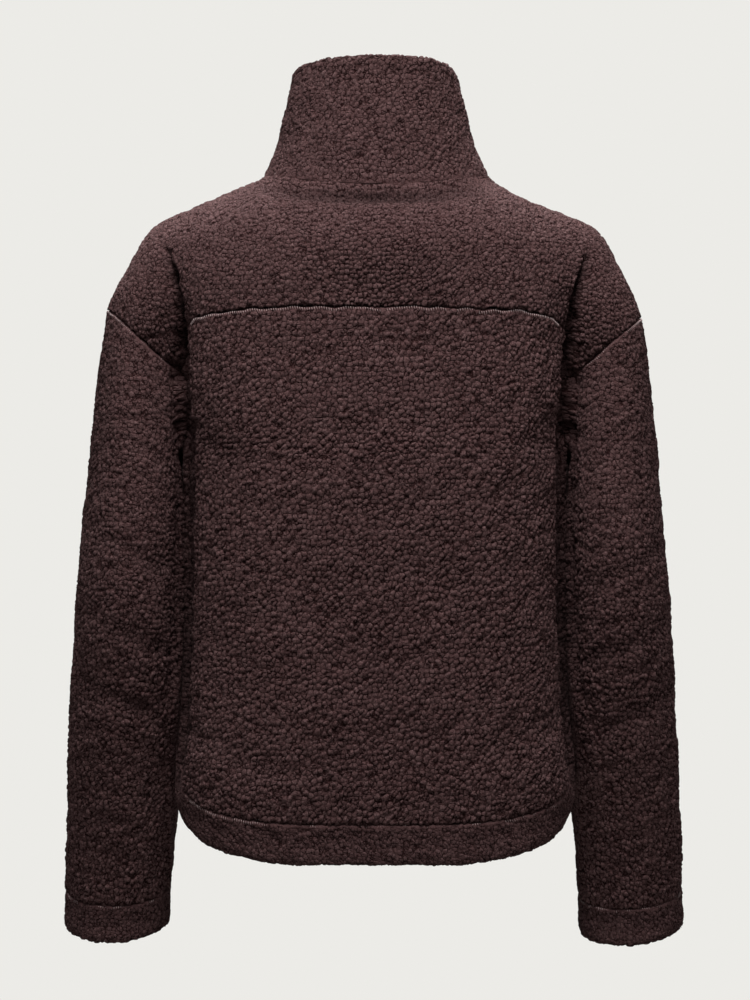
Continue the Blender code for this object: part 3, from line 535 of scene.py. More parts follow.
def mean_lengths(rows, axis):
    """Distance along the rows or the columns, as a mean over all of them."""
    steps = np.linalg.norm(np.diff(rows, axis=axis), axis=2).mean(axis=1 - axis)
    return np.concatenate([[0], np.cumsum(steps)])


def refined(rows, normals, pitch, closed=False, multiple=1):
    """The rows and normals on a grid about one pitch apart. The numbers of steps are multiples
    of the given one, or odd for 1 from row to row. A closed grid ends with its first column
    again."""
    both = np.concatenate([rows, normals], axis=2)
    down = mean_lengths(rows, 0)
    steps = multiple * max(2, round(down[-1] / pitch / multiple))
    steps += 1 - steps % 2 if multiple == 1 else 0
    both = spline(down, both, np.linspace(0, down[-1], steps + 1))
    wrap = 4 if closed else 0
    if closed:
        both = np.concatenate([both[:, -wrap:], both, both[:, : wrap + 1]], axis=1)
    across = mean_lengths(both[..., :3], 1)
    first, last = across[wrap], across[-1 - wrap]
    steps = multiple * max(2, round((last - first) / pitch / multiple))
    at = np.linspace(first, last, steps + 1)
    both = spline(across, both.swapaxes(0, 1), at).swapaxes(0, 1)
    fine, facing = both[..., :3], both[..., 3:]
    return fine, facing / np.linalg.norm(facing, axis=2, keepdims=True)


def cloth_lengths(fine, centred):
    """Two lengths over the cloth at each point: across from the first column, or the middle one
    of a centred piece, and down from the first row. A pattern laid by them keeps its size."""
    middle = fine.shape[1] // 2 if centred else 0
    across = np.linalg.norm(np.diff(fine, axis=1), axis=2)
    across = np.concatenate([np.zeros((len(fine), 1)), np.cumsum(across, axis=1)], axis=1)
    down = np.linalg.norm(np.diff(fine, axis=0), axis=2)
    down = np.concatenate([np.zeros((1, fine.shape[1])), np.cumsum(down, axis=0)], axis=0)
    return across - across[:, middle : middle + 1], down


# %% [markdown]
# ## The curls
#
# Teddy fleece is knitted with long loops that are cut and tumbled until they curl up into knots a
# few millimetres across, with dark gaps between them. Points are scattered in space, one in each
# cell of a lattice, and a knot is all that lies nearer to its own point than to any other. Where
# the cloth cuts through them it shows pebbles of many sizes, and they are nowhere stretched.
#
# The scattering mixes bits in the way of Blender's Voronoi texture. So the knots raised here in the
# mesh and the finer creases that the material draws later are the same ones.

# %% Curl pattern
JITTER = 0.85
# how far from the border between two knots the step up ends, and how much of a knot's height
# lies in its dome and in its own chance
BORDER, DOME_SHARE, OWN_SHARE = 0.24, 0.52, 0.3
# which word is changed, by which others, and by how many bits one of them is turned
MIXING = ((0, 2, 1, 4), (1, 0, 2, 6), (2, 1, 0, 8), (0, 2, 1, 16), (1, 0, 2, 19), (2, 1, 0, 4))
ENDING = ((2, 1, 14), (0, 2, 11), (1, 0, 25), (2, 1, 16), (0, 2, 4), (1, 0, 14), (2, 1, 24))


def turned(word, bits):
    return (word << np.uint32(bits)) | (word >> np.uint32(32 - bits))


def scattered(*numbers):
    """A number from 0 to 1 for each set of three or four numbers, without order but always the
    same: their bits are added to three words, which are then mixed."""
    start = np.uint32((0xDEADBEEF + 4 * len(numbers) + 13) % 2**32)
    words = [np.asarray(n, np.float32).view(np.uint32) for n in numbers]
    state = [start + word for word in words[:3]]
    if len(words) == 4:
        for a, b, c, bits in MIXING:
            state[a] = (state[a] - state[b]) ^ turned(state[b], bits)
            state[b] = state[b] + state[c]
        state[0] = state[0] + words[3]
    for a, b, bits in ENDING:
        state[a] = (state[a] ^ state[b]) - turned(state[b], bits)
    return state[2] / (2**32 - 1)


def soft_waves(place, size, seed, count=7):
    """A slow, even wandering between about -1 and 1: the sum of plane waves whose directions
    and lengths are drawn round the given size."""
    dice = np.random.default_rng(seed)
    total = np.zeros(place.shape[:-1])
    for _ in range(count):
        way = dice.normal(size=3)
        way *= 2 * math.pi / (size * dice.uniform(0.7, 1.6)) / np.linalg.norm(way)
        total += np.sin(place @ way + dice.uniform(0, 2 * math.pi))
    return total / math.sqrt(count)


def curls(place):
    """Height of the pile, from 0 in a gap to 1, at places measured in cells: a step up from the
    gap, times a dome round the knot's point, times the knot's own height."""
    flat = place.reshape(-1, 3)
    corner = np.floor(flat).astype(np.float32)
    nearest = np.full(len(flat), 9.0)
    second, own = nearest.copy(), np.zeros(len(flat))
    one, two = np.full(len(flat), 1.0), np.full(len(flat), 2.0)
    for step in np.ndindex(3, 3, 3):
        cell = corner + np.array(step, np.float32) - 1
        x, y, z = np.ascontiguousarray(cell.T)
        scatter = [scattered(x, y, z), scattered(x, y, z, one), scattered(x, y, z, two)]
        away = np.linalg.norm(cell + np.stack(scatter, axis=-1) * JITTER - flat, axis=1)
        closer = away < nearest
        second = np.where(closer, nearest, np.minimum(second, away))
        own = np.where(closer, scatter[0], own)
        nearest = np.where(closer, away, nearest)
    step_up = smooth_step((second - nearest) / BORDER)
    dome = 1 - DOME_SHARE * np.clip(nearest / 0.9, 0, 1) ** 2
    height = step_up * dome * (1 - OWN_SHARE + OWN_SHARE * own)
    return height.reshape(place.shape[:-1])


print("a knot's height at the origin:", curls(np.zeros((1, 3))).round(3))

# %% [markdown]
# ## Folds
#
# Worn fleece is thick and falls in few, soft folds. Each is drawn as a tailor would chalk it, as a
# line on the back or on the front, with a depth at each of its points and one width. The cloth
# moves by the depth times a bell curve of the distance from the line. Where the arm leaves the
# body the cloth makes a step instead: it drops sharply at the line and comes back slowly on the
# arm's side.

# %% Soft folds and steps
FOLDS = {
    # kind, width, then (x, z, depth) along the line; troughs are negative and ridges positive
    "back": (
        ("step", 6.5, (
            (-178, -54, 0), (-173.5, -72, -6), (-167, -92, -13), (-163.5, -112, -17),
            (-161.5, -130, -18), (-160, -150, -17), (-159, -175, -14), (-157.5, -215, -10),
            (-157, -255, 0),
        )),
        ("step", 9.0, (
            (-157, -190, 0), (-155.5, -220, -8), (-154.5, -250, -11), (-155, -320, -11),
            (-157, -400, -12), (-160, -460, -12), (-164, -500, -8), (-168, -528, 0),
        )),
        ("step", 6.5, (
            (182, -57, 0), (177.5, -72, -6), (173, -88, -12), (168.5, -104, -16),
            (165, -120, -18), (162.5, -138, -18), (160.5, -170, -14), (158.5, -215, -10),
            (158, -255, 0),
        )),
        ("step", 9.0, (
            (158, -190, 0), (156.5, -220, -8), (155.5, -250, -11), (156, -320, -11),
            (158, -400, -12), (161, -460, -12), (165, -500, -8), (169, -528, 0),
        )),
        ("fold", 7.0, (
            (-90, -14, -2.0), (-48, -19, -5.5), (0, -21, -7.5), (48, -19, -5.5), (90, -14, -2.0),
        )),
        ("fold", 13.0, ((-146, -215, -2.0), (-88, -290, 0))),
        ("fold", 13.0, ((146, -215, -2.0), (92, -300, 0))),
        ("fold", 11.0, ((-182, -330, -2.5), (-236, -300, -1.0))),
        ("fold", 10.0, ((-182, -400, -2.0), (-240, -372, -1.0))),
        ("fold", 10.0, ((-196, -452, -2.4), (-250, -430, -1.0))),
        ("fold", 11.0, ((184, -345, -2.4), (240, -318, -1.0))),
        ("fold", 10.0, ((184, -412, -2.2), (244, -380, -1.0))),
        ("fold", 10.0, ((200, -470, -2.2), (250, -440, -1.0))),
        ("fold", 12.0, ((-150, -470, -1.8), (-60, -500, 0))),
        ("fold", 12.0, ((150, -455, -1.8), (70, -492, 0))),
    ),
    "front": (
        ("step", 7.0, (
            (-176, -66, 0), (-169, -92, -8), (-162, -118, -12), (-158, -145, -12),
            (-158, -175, -8), (-159, -235, -5), (-159, -400, -4), (-160, -470, -3),
            (-162, -500, 0),
        )),
        ("step", 7.0, (
            (177, -70, 0), (170, -96, -8), (162, -122, -12), (159, -150, -12), (158, -180, -8),
            (159, -240, -5), (159, -400, -4), (160, -470, -3), (162, -500, 0),
        )),
        ("fold", 13.0, ((-146, -215, -2.0), (-84, -300, 0))),
        ("fold", 13.0, ((146, -225, -2.0), (90, -290, 0))),
        ("fold", 12.0, ((-140, -455, -1.8), (-60, -490, 0))),
        ("fold", 12.0, ((140, -465, -1.8), (66, -480, 0))),
        ("fold", 11.0, ((-188, -340, -2.2), (-240, -318, -1.0))),
        ("fold", 11.0, ((188, -350, -2.2), (240, -325, -1.0))),
        ("fold", 10.0, ((-198, -440, -2.2), (-246, -425, -1.0))),
        ("fold", 10.0, ((198, -450, -2.2), (246, -430, -1.0))),
    ),
}
# over how many millimetres a step drops, how far from the middle plane a fold or a step ends and in
# how many millimetres it fades, and the depth from which a fold's painted shade is full
STEP_SHARPNESS = 1.3
ENDS_AT = {"fold": 3, "step": 21}
FOLD_FADE = 14
FULL_PAINTED_SHADE_AT = 12
print("folds:", {face: len(folds) for face, folds in FOLDS.items()})


def line_depth(place, line):
    """For the nearest of the line's stretches: the distance from it, positive away from the
    jacket's middle, and its depth there, as seen straight from behind or from the front."""
    best, depth = np.full(place.shape[:-1], 1e3), np.zeros(place.shape[:-1])
    outward = np.ones(place.shape[:-1])
    for (x0, z0, d0), (x1, z1, d1) in zip(line, line[1:]):
        way = np.array((x1 - x0, z1 - z0), float)
        from_start = place[..., [0, 2]] - (x0, z0)
        share = np.clip(from_start @ way / (way @ way), 0, 1)
        away = np.linalg.norm(from_start - share[..., None] * way, axis=-1)
        turn = (way[0] * from_start[..., 1] - way[1] * from_start[..., 0]) * math.copysign(1, x0)
        closer = away < best
        depth = np.where(closer, d0 + (d1 - d0) * share, depth)
        outward = np.where(closer, np.sign(turn), outward)
        best = np.minimum(away, best)
    return best * outward, depth


def folded(place):
    """The sum of all folds, each only on its own side of the jacket, with a slow wandering; and the
    painted shade that darkens the colour near them, from 0 to 1. A step ends before the place where
    sleeve and body touch."""
    total, dark = 0.7 * soft_waves(place, 70, 5), np.zeros(place.shape[:-1])
    uneven = 0.9 * soft_waves(place, 12, 91)
    for face, folds in FOLDS.items():
        outwards = FACING[face] * place[..., 1]
        for kind, width, line in folds:
            away, depth = line_depth(place, line)
            if kind == "fold":
                shape = np.exp(-((away / width) ** 2))
            else:
                away = away + uneven
                shape = np.exp(-np.where(away > 0, away / width, -away / STEP_SHARPNESS))
            total += depth * shape * smooth_step((outwards - ENDS_AT[kind]) / FOLD_FADE)
            # painted shade: the colour darkens near deep folds and steps, where shade falls
            shade = smooth_step(1.6 * shape - 0.35)
            shade = shade * smooth_step((outwards - ENDS_AT["fold"]) / FOLD_FADE)
            dark = np.maximum(dark, np.clip(-depth / FULL_PAINTED_SHADE_AT, 0, 1) * shade)
    return total, dark


def deepest(depth, reach):
    """The least value within so many rows and columns of each point."""
    for axis in (0, 1):
        padding = [(reach, reach) if a == axis else (0, 0) for a in (0, 1)]
        wide, count = np.pad(depth, padding, mode="edge"), depth.shape[axis]
        moved = [wide.take(range(s, s + count), axis=axis) for s in range(2 * reach + 1)]
        depth = np.min(moved, axis=0)
    return depth


# %% [markdown]
# ## Pile at a seam
#
# A flat seam has an upper and a lower side. On the lower side the thread crushes the pile into a
# smooth strip a few millimetres wide. The curls of the upper side hang over it and cast a shadow.

# %% Pile over a surface
PILE = {
    # how high the knots stand and how large their cells are
    "back": {"relief": 2.1, "size": 4.2},
    "yoke": {"relief": 1.8, "size": 3.8},
    "sleeve": {"relief": 2.0, "size": 4.1},
    "collar": {"relief": 1.9, "size": 3.8},
    "band": {"relief": 1.4, "size": 3.3},
}
PATTERN_OFFSET = 17.3
TOUCHING = 2.8
TOUCH = {"middle": 36, "fade": 14, "below": -215, "within": 178}
PROUDEST = 0.8
CRUSHED = 0.45
DITCH_WIDTH = 2.2
SEAM_WAVE = 1.3
# how far from the edge the curls start and reach full height, how deep the ditch at the edge is,
# and how far the edge itself and its curls reach out over the neighbour
UNDER = {"start": 3.0, "full": 6.2, "ditch": 2.6, "reach": 0.0, "lean": 0.0}
OVER = {"start": -1.2, "full": 1.2, "ditch": 0.3, "reach": 0.0, "lean": 2.1}
# the yoke's seam, whose two sides wander together
WAVY_UNDER = {**UNDER, "ditch": 3.0, "wave": 1.0}
WAVY_OVER = {**OVER, "lean": 2.3, "wave": -1.0}
PLAIN = {"start": -1.5, "full": 1.5, "ditch": 0.5, "reach": 0.0, "lean": 0.6}
SOFT = {"start": -1.0, "full": 5.0, "ditch": 1.2, "reach": 0.3, "lean": 0.8}
INSIDE = {"start": 0.5, "full": 3.5, "ditch": 0.0, "reach": 0.0, "lean": 0.0}
ON_TAPE = {"start": -0.5, "full": 2.0, "ditch": 0.0, "reach": 0.35, "lean": 0.5}


def piled(fine, facing, lengths, kind, seed, edges, shown):
    """The surface moved along its normals by folds, seams and curls, with the share of the pile
    that stands up, the place in the pattern of curls, the folds alone, and the painted shade that
    darkens the colour in deep folds and in the ditches at seams. shown is 0 where a seam lies
    hidden in a fold."""
    size, relief = PILE[kind]["size"], PILE[kind]["relief"]
    place = fine / size + seed * PATTERN_OFFSET
    height = curls(place)
    grown, ditch = np.ones(height.shape), np.zeros(height.shape)
    lean = np.zeros(fine.shape)
    for edge, side in edges.items():
        away, outward = from_edge(edge, fine, *lengths)
        bare = shown if side in (UNDER, WAVY_UNDER) else 1
        ditch = np.maximum(ditch, side["ditch"] * bare * np.exp(-((away / DITCH_WIDTH) ** 2)))
        away = away + 0.6 * soft_waves(fine, 13, seed + 20)
        share = smooth_step((away - side["start"]) / (side["full"] - side["start"]))
        grown = np.minimum(grown, 1 - (1 - share) * bare)
        reach = side["reach"] + side["lean"] * height + side.get("wave", 0) * seam_wave(fine)
        lean = lean + outward * (reach * np.exp(-np.maximum(away, 0) / 3))[..., None]
    lumps = soft_waves(fine, 16, seed + 40)
    fold, dark = folded(fine)
    height = np.clip(height * (1 + 0.15 * lumps), 0, 1)
    offset = (height * grown - 1 + CRUSHED * (1 - grown)) * relief - ditch + 0.25 * lumps + fold
    offset = offset + TOUCHING * between_arm_and_body(fine, facing)
    # painted shade: the colour darkens in deep folds and in the ditches at seams
    painted_shade = np.maximum(dark, smooth_step((ditch - 0.9) / 1.3))
    outer = fine + facing * np.minimum(offset, PROUDEST)[..., None] + lean
    return outer, grown, place, fold, painted_shade


def seam_wave(place):
    """How far a wavy seam lies above its pattern line."""
    return SEAM_WAVE * soft_waves(place, 19, 33)


def between_arm_and_body(fine, facing):
    """1 where the hanging sleeve and the body's side lie against each other, where the pile
    of both interlocks."""
    sideways = smooth_step((np.abs(facing[..., 0]) - 0.7) / 0.2)
    middle = smooth_step((TOUCH["middle"] - np.abs(fine[..., 1])) / TOUCH["fade"])
    low = smooth_step((TOUCH["below"] - fine[..., 2]) / 20)
    return sideways * middle * low * (np.abs(fine[..., 0]) < TOUCH["within"])


def from_edge(edge, fine, across, down):
    """Distance of each point from one edge, along the rows or the columns, and the way out
    over that edge."""
    away, outward = {
        "first_row": (down, fine[:1] - fine[1:2]),
        "last_row": (down[-1] - down, fine[-1:] - fine[-2:-1]),
        "first_column": (across - across[:, :1], fine[:, :1] - fine[:, 1:2]),
        "last_column": (across[:, -1:] - across, fine[:, -1:] - fine[:, -2:-1]),
    }[edge]
    return away, outward / np.linalg.norm(outward, axis=2, keepdims=True)


# %% [markdown]
# ## From surfaces to closed cloth
#
# A single layer has pile outside and the plain knit behind it. The knit needs far fewer points, so
# its grid is coarser and a fan of triangles joins the two along each edge. Each vertex carries
# numbers that the materials read later: the share of its pile that stands up, the painted shade of
# deep folds and seam ditches, and its place among the curls.

# %% Faces and meshes
INNER_STEP = 4


def grid_faces(index):
    """Two triangles for each cell of a grid of indices."""
    a, b, c, d = index[:-1, :-1], index[:-1, 1:], index[1:, 1:], index[1:, :-1]
    return np.concatenate([np.stack(t, axis=-1).reshape(-1, 3) for t in ((a, b, c), (a, c, d))])


def fan(fine, rough):
    """Triangles between a fine edge and one with a point at every INNER_STEP of its points."""
    half, start = INNER_STEP // 2, np.arange(len(rough) - 1)
    at = start * INNER_STEP
    faces = [
        np.stack([fine[at + j], fine[at + j + 1], rough[start + (j >= half)]], axis=-1)
        for j in range(INNER_STEP)
    ]
    faces.append(np.stack([fine[at + half], rough[start + 1], rough[start]], axis=-1))
    return np.concatenate(faces)


def edges_of(index):
    """The four edges of a grid, each in the way that a face beyond it would run."""
    return index[0, ::-1], index[:, 0], index[-1], index[::-1, -1]


def vertex_numbers(grid, closed, start=0):
    """Which vertex each corner of a grid is. A closed grid's last column is its first again."""
    width = grid.shape[1] - closed
    index = np.arange(len(grid) * width).reshape(len(grid), width) + start
    return np.concatenate([index, index[:, :1]], axis=1) if closed else index


def one_per_vertex(grid, closed):
    """The grid's values as one list, without the column that a closed grid repeats."""
    return grid[:, : grid.shape[1] - closed].reshape(-1, *grid.shape[2:])


def triangle_mesh(name, vertices, triangles):
    """A mesh from points in millimetres and sets of three vertex numbers."""
    mesh = bpy.data.meshes.new(name)
    mesh.vertices.add(len(vertices))
    mesh.vertices.foreach_set("co", (vertices * METRE).astype(np.float32).ravel())
    mesh.loops.add(triangles.size)
    mesh.loops.foreach_set("vertex_index", triangles.astype(np.int32).ravel())
    mesh.polygons.add(len(triangles))
    mesh.polygons.foreach_set("loop_start", np.arange(0, triangles.size, 3, dtype=np.int32))
    mesh.update(calc_edges=True)
    return mesh


def on_jacket(name, mesh, materials):
    """The mesh with its materials, as an object that rides on the jacket's body."""
    for material in materials:
        mesh.materials.append(material)
    made = bpy.data.objects.new(name, mesh)
    bpy.context.scene.collection.objects.link(made)
    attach(made, "jacket")
    return made


def cloth_object(name, carried, corners, faces, lengths, behind, materials):
    """A piece of cloth. carried holds each vertex's place, standing pile, painted shade and place
    among the curls. corners says which vertex each corner of the pattern is, lengths gives its
    place on the pattern in millimetres (the material reads centimetres), and behind counts the last
    faces, which have the second material."""
    vertices, pile, painted_shade, place = carried
    triangles = corners[faces]
    a, b, c = (vertices[triangles[:, i]] for i in range(3))
    if (a * np.cross(b, c)).sum() < 0:
        triangles, faces = triangles[:, ::-1], faces[:, ::-1]
    mesh = triangle_mesh(name, vertices, triangles)
    finish = np.zeros(len(triangles), np.int32)
    finish[len(finish) - behind :] = 1
    mesh.polygons.foreach_set("material_index", finish)
    pattern = mesh.uv_layers.new(name="pattern")
    pattern.data.foreach_set("uv", (lengths[faces.ravel()] / 10).astype(np.float32).ravel())
    for label, kind, field, values in (
        ("pile", "FLOAT", "value", pile),
        ("painted_shade", "FLOAT", "value", painted_shade),
        ("curl_place", "FLOAT_VECTOR", "vector", place),
    ):
        data = mesh.attributes.new(label, kind, "POINT").data
        data.foreach_set(field, values.astype(np.float32).ravel())
    mesh.shade_smooth()
    return on_jacket(name + "_fleece", mesh, materials)


# %% [markdown]
# ## One layer of fleece
#
# Each panel is a grid of piled points, its knit back a little further in, and the rim that joins
# them. The knit follows the deepest fold near each of its points, so that it never comes through
# the pile. Each piece hides the solid that it stands for.

# %% Single layers
YOKE_SEAM_SHOWS, ARMHOLE_SEAM_SHOWS = 155, -165


def declare(made, name, fine, across, down):
    """Hides the solid that the cloth stands for."""
    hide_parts(name)


def shown_seam(name, fine):
    """0 where a seam lies hidden in the armhole's fold: the ends of the yoke's seam, and the
    armhole below the yoke."""
    if name == "back_panel":
        return 1 - smooth_step((np.abs(fine[..., 0]) - YOKE_SEAM_SHOWS) / 6)
    if name.startswith("sleeve"):
        return smooth_step((fine[..., 2] - ARMHOLE_SEAM_SHOWS + 5) / 9)
    return np.ones(fine.shape[:-1])


def single_layer(name, pitch, seed, seams, materials, kind, centred=False):
    """Outer side with pile, inner side of plain knit FLEECE further in, joined all round."""
    closed = name.startswith(RINGS)
    fine, facing = refined(*skins[name], pitch, closed, INNER_STEP)
    lengths = cloth_lengths(fine, centred)
    shown = shown_seam(name, fine)
    outer, pile, place, fold, painted_shade = piled(fine, facing, lengths, kind, seed, seams, shown)
    every = (slice(None, None, INNER_STEP),) * 2
    inner = fine[every] + facing[every] * (deepest(fold, INNER_STEP)[every] - FLEECE)[..., None]
    layers = zip(
        (outer, pile, painted_shade, place),
        (inner, np.zeros(inner.shape[:2]), painted_shade[every], place[every]),
    )
    carried = [np.concatenate([one_per_vertex(v, closed) for v in both]) for both in layers]
    first = vertex_numbers(outer, closed)
    second = vertex_numbers(inner, closed, first.max() + 1)
    front = np.arange(first.size).reshape(first.shape)
    back = np.arange(second.size).reshape(second.shape) + front.size
    rims = [fan(*pair) for pair in zip(edges_of(front), edges_of(back))][:: 1 + closed]
    behind = grid_faces(back)[:, ::-1]
    on_pattern = np.stack(lengths, axis=-1)
    made = cloth_object(
        name,
        carried,
        np.concatenate([first.ravel(), second.ravel()]),
        np.concatenate([grid_faces(front), *rims, behind]),
        np.concatenate([on_pattern.reshape(-1, 2), on_pattern[every].reshape(-1, 2)]),
        len(behind),
        materials,
    )
    declare(made, name, fine, *lengths)


# %% [markdown]
# ## Folded bands
#
# The hem, the cuffs and the collar are strips folded in two, with pile on both sides. So each is
# one surface that runs down the outer side, round the fold in half a circle, and up the inner
# side. A strip of faces closes it at the seam, and another at each open end.

# %% Doubled pieces
FOLD_STEPS = 5


def folded_rows(rows, normals):
    """Rows down the outer side, round the fold and up the inner side, with their normals. The
    fold is half a circle as wide as the doubled cloth."""
    radius = DOUBLED_FLEECE / 2
    onward = rows[-1] - rows[-2]
    onward -= (onward * normals[-1]).sum(axis=1, keepdims=True) * normals[-1]
    onward /= np.linalg.norm(onward, axis=1, keepdims=True)
    middle = rows[-1] - radius * (normals[-1] + onward)
    turns = np.linspace(0, math.pi, FOLD_STEPS + 1)
    ways = np.array([math.cos(t) * normals[-1] + math.sin(t) * onward for t in turns])
    inner = rows[:-1] - normals[:-1] * DOUBLED_FLEECE
    sheet = np.concatenate([rows[:-1], middle + radius * ways, inner[::-1]])
    return sheet, np.concatenate([normals[:-1], ways, -normals[:-1][::-1]])


def doubled(name, pitch, seed, seams, materials, kind="band", centred=False):
    """One sheet folded over, with its pile outwards on both sides."""
    closed = name.startswith(RINGS)
    fine, facing = refined(*folded_rows(*skins[name]), pitch, closed)
    across, down = cloth_lengths(fine, centred)
    outer, pile, place, _, painted_shade = piled(fine, facing, (across, down), kind, seed, seams, 1)
    index = vertex_numbers(outer, closed)
    corners = np.arange(index.size).reshape(index.shape)
    faces = [grid_faces(corners), grid_faces(corners[[-1, 0]])]
    if not closed:
        low = np.arange(len(outer) // 2 - 1)
        high = low + 1
        for column, turn in ((0, 1), (-1, -1)):
            near, far = corners[:, column], corners[::-1, column]
            for triangle in ((near[low], near[high], far[high]), (near[low], far[high], far[low])):
                faces.append(np.stack(triangle, axis=-1)[:, ::turn])
    made = cloth_object(
        name,
        [one_per_vertex(values, closed) for values in (outer, pile, painted_shade, place)],
        index.ravel(),
        np.concatenate(faces),
        np.stack([across, down], axis=-1).reshape(-1, 2),
        0,
        materials,
    )
    half = len(fine) // 2
    declare(made, name, fine[:half], across[:half], down[:half])


# %% [markdown]
# ## Building materials from nodes
#
# A material is a small tree of nodes. A few helpers that place a node with its values and its
# incoming links keep the recipes below as short as a dyer's notes.

# %% Node helpers


def new_group(name, inputs, outputs):
    """An empty node group with named sockets: (name, kind, value) and (name, kind)."""
    group = bpy.data.node_groups.new(name, "ShaderNodeTree")
    for label, kind, value in inputs:
        socket = group.interface.new_socket(label, in_out="INPUT", socket_type=kind)
        socket.default_value = value
    for label, kind in outputs:
        group.interface.new_socket(label, in_out="OUTPUT", socket_type=kind)
    return group, group.nodes.new("NodeGroupInput"), group.nodes.new("NodeGroupOutput")


def place_node(tree, kind, links=(), **values):
    """A node with its settings, its sockets' values and its incoming links."""
    node = tree.nodes.new(kind)
    for key, value in values.items():
        if hasattr(node, key):
            setattr(node, key, value)
        else:
            node.inputs[key.replace("_", " ")].default_value = value
    for socket, source in dict(links).items():
        tree.links.new(source, node.inputs[socket])
    return node


def colour_ramp(tree, source, stops):
    """The colour between the two nearest stops, each a position and a colour."""
    ramp = place_node(tree, "ShaderNodeValToRGB", {"Fac": source})
    elements = ramp.color_ramp.elements
    while len(elements) < len(stops):
        elements.new(1.0)
    for element, (position, colour) in zip(elements, stops):
        element.position, element.color = position, (*colour, 1)
    return ramp.outputs["Color"]


def chained(tree, first, *steps, kind="ShaderNodeMath"):
    """A value carried through math nodes, each given as an operation and its other inputs."""
    for operation, *others in steps:
        node = place_node(tree, kind, operation=operation)
        tree.links.new(first, node.inputs[0])
        for socket, other in enumerate(others, 1):
            if isinstance(other, (float, tuple)):
                node.inputs[socket].default_value = other
            else:
                tree.links.new(other, node.inputs[socket])
        first = node.outputs[0]
    return first


def scaled(tree, vector, factor):
    """The vector times a number or another node's value."""
    node = place_node(tree, "ShaderNodeVectorMath", {"Vector": vector}, operation="SCALE")
    if isinstance(factor, float):
        node.inputs["Scale"].default_value = factor
    else:
        tree.links.new(factor, node.inputs["Scale"])
    return node.outputs["Vector"]


def knots(tree, place, feature, scale=1.0):
    """Blender's own pattern of cells, the same that curls() has raised in the mesh."""
    return place_node(
        tree,
        "ShaderNodeTexVoronoi",
        {"Vector": place},
        feature=feature,
        Scale=scale,
        Randomness=JITTER,
    )


def noise(tree, place, scale, detail, roughness=0.5):
    """Cloudy noise at a place, with so many finer layers."""
    return place_node(
        tree,
        "ShaderNodeTexNoise",
        {"Vector": place},
        Scale=scale,
        Detail=detail,
        Roughness=roughness,
    )


def wave(tree, place, scale, **values):
    """Parallel light and dark bands."""
    bands = place_node(tree, "ShaderNodeTexWave", {"Vector": place}, Scale=scale, **values)
    return bands.outputs["Fac"]


def mapped(tree, source, low, high, first, last):
    """A value from low to high turned softly into one from first to last."""
    ends = {"From_Min": low, "From_Max": high, "To_Min": first, "To_Max": last}
    node = place_node(
        tree, "ShaderNodeMapRange", {"Value": source}, interpolation_type="SMOOTHSTEP", **ends
    )
    return node.outputs["Result"]


def new_material(name, **values):
    """A Principled material with its constant values set on the shader's own sockets."""
    material = bpy.data.materials.new(name)
    material.use_nodes = True
    shader = material.node_tree.nodes["Principled BSDF"]
    for key, value in values.items():
        shader.inputs[key.replace("_", " ")].default_value = value
    return material, material.node_tree, shader


def finish_with(tree, shader, colour, height, distance):
    """The shader's colour, and a bump of so many metres from the same pattern."""
    tree.links.new(colour, shader.inputs["Base Color"])
    bump = place_node(tree, "ShaderNodeBump", {"Height": height}, Distance=distance, Strength=1.0)
    tree.links.new(bump.outputs["Normal"], shader.inputs["Normal"])


# %% [markdown]
# ## The pile
#
# The pile's colour follows its height: dusty plum brown on the curls and nearly black brown in the
# gaps between them, which is painted shade, and darker in deep folds and seam ditches, also painted
# shade. Fine fibres and small knots below the mesh's own detail are bump. One node group makes them
# for the panels and the bands, so that both keep the same look, the bands a little darker.

# %% Fleece
# the dark low end of these colours is painted shade in the gaps between knots
PILE_COLOURS = (
    (0.0, (0.0140, 0.0040, 0.0040)),
    (0.22, (0.0300, 0.0115, 0.0112)),
    (0.60, (0.0880, 0.0470, 0.0465)),
    (1.0, (0.1750, 0.1120, 0.1110)),
)
# painted shade: how much the creases between knots, and deep folds and seam ditches, darken the
# colour; then how much darker pile that lies flat is
CREASE_PAINTED_SHADE, FOLD_AND_DITCH_PAINTED_SHADE, CRUSHED_DARKNESS = 0.63, 0.78, 0.14


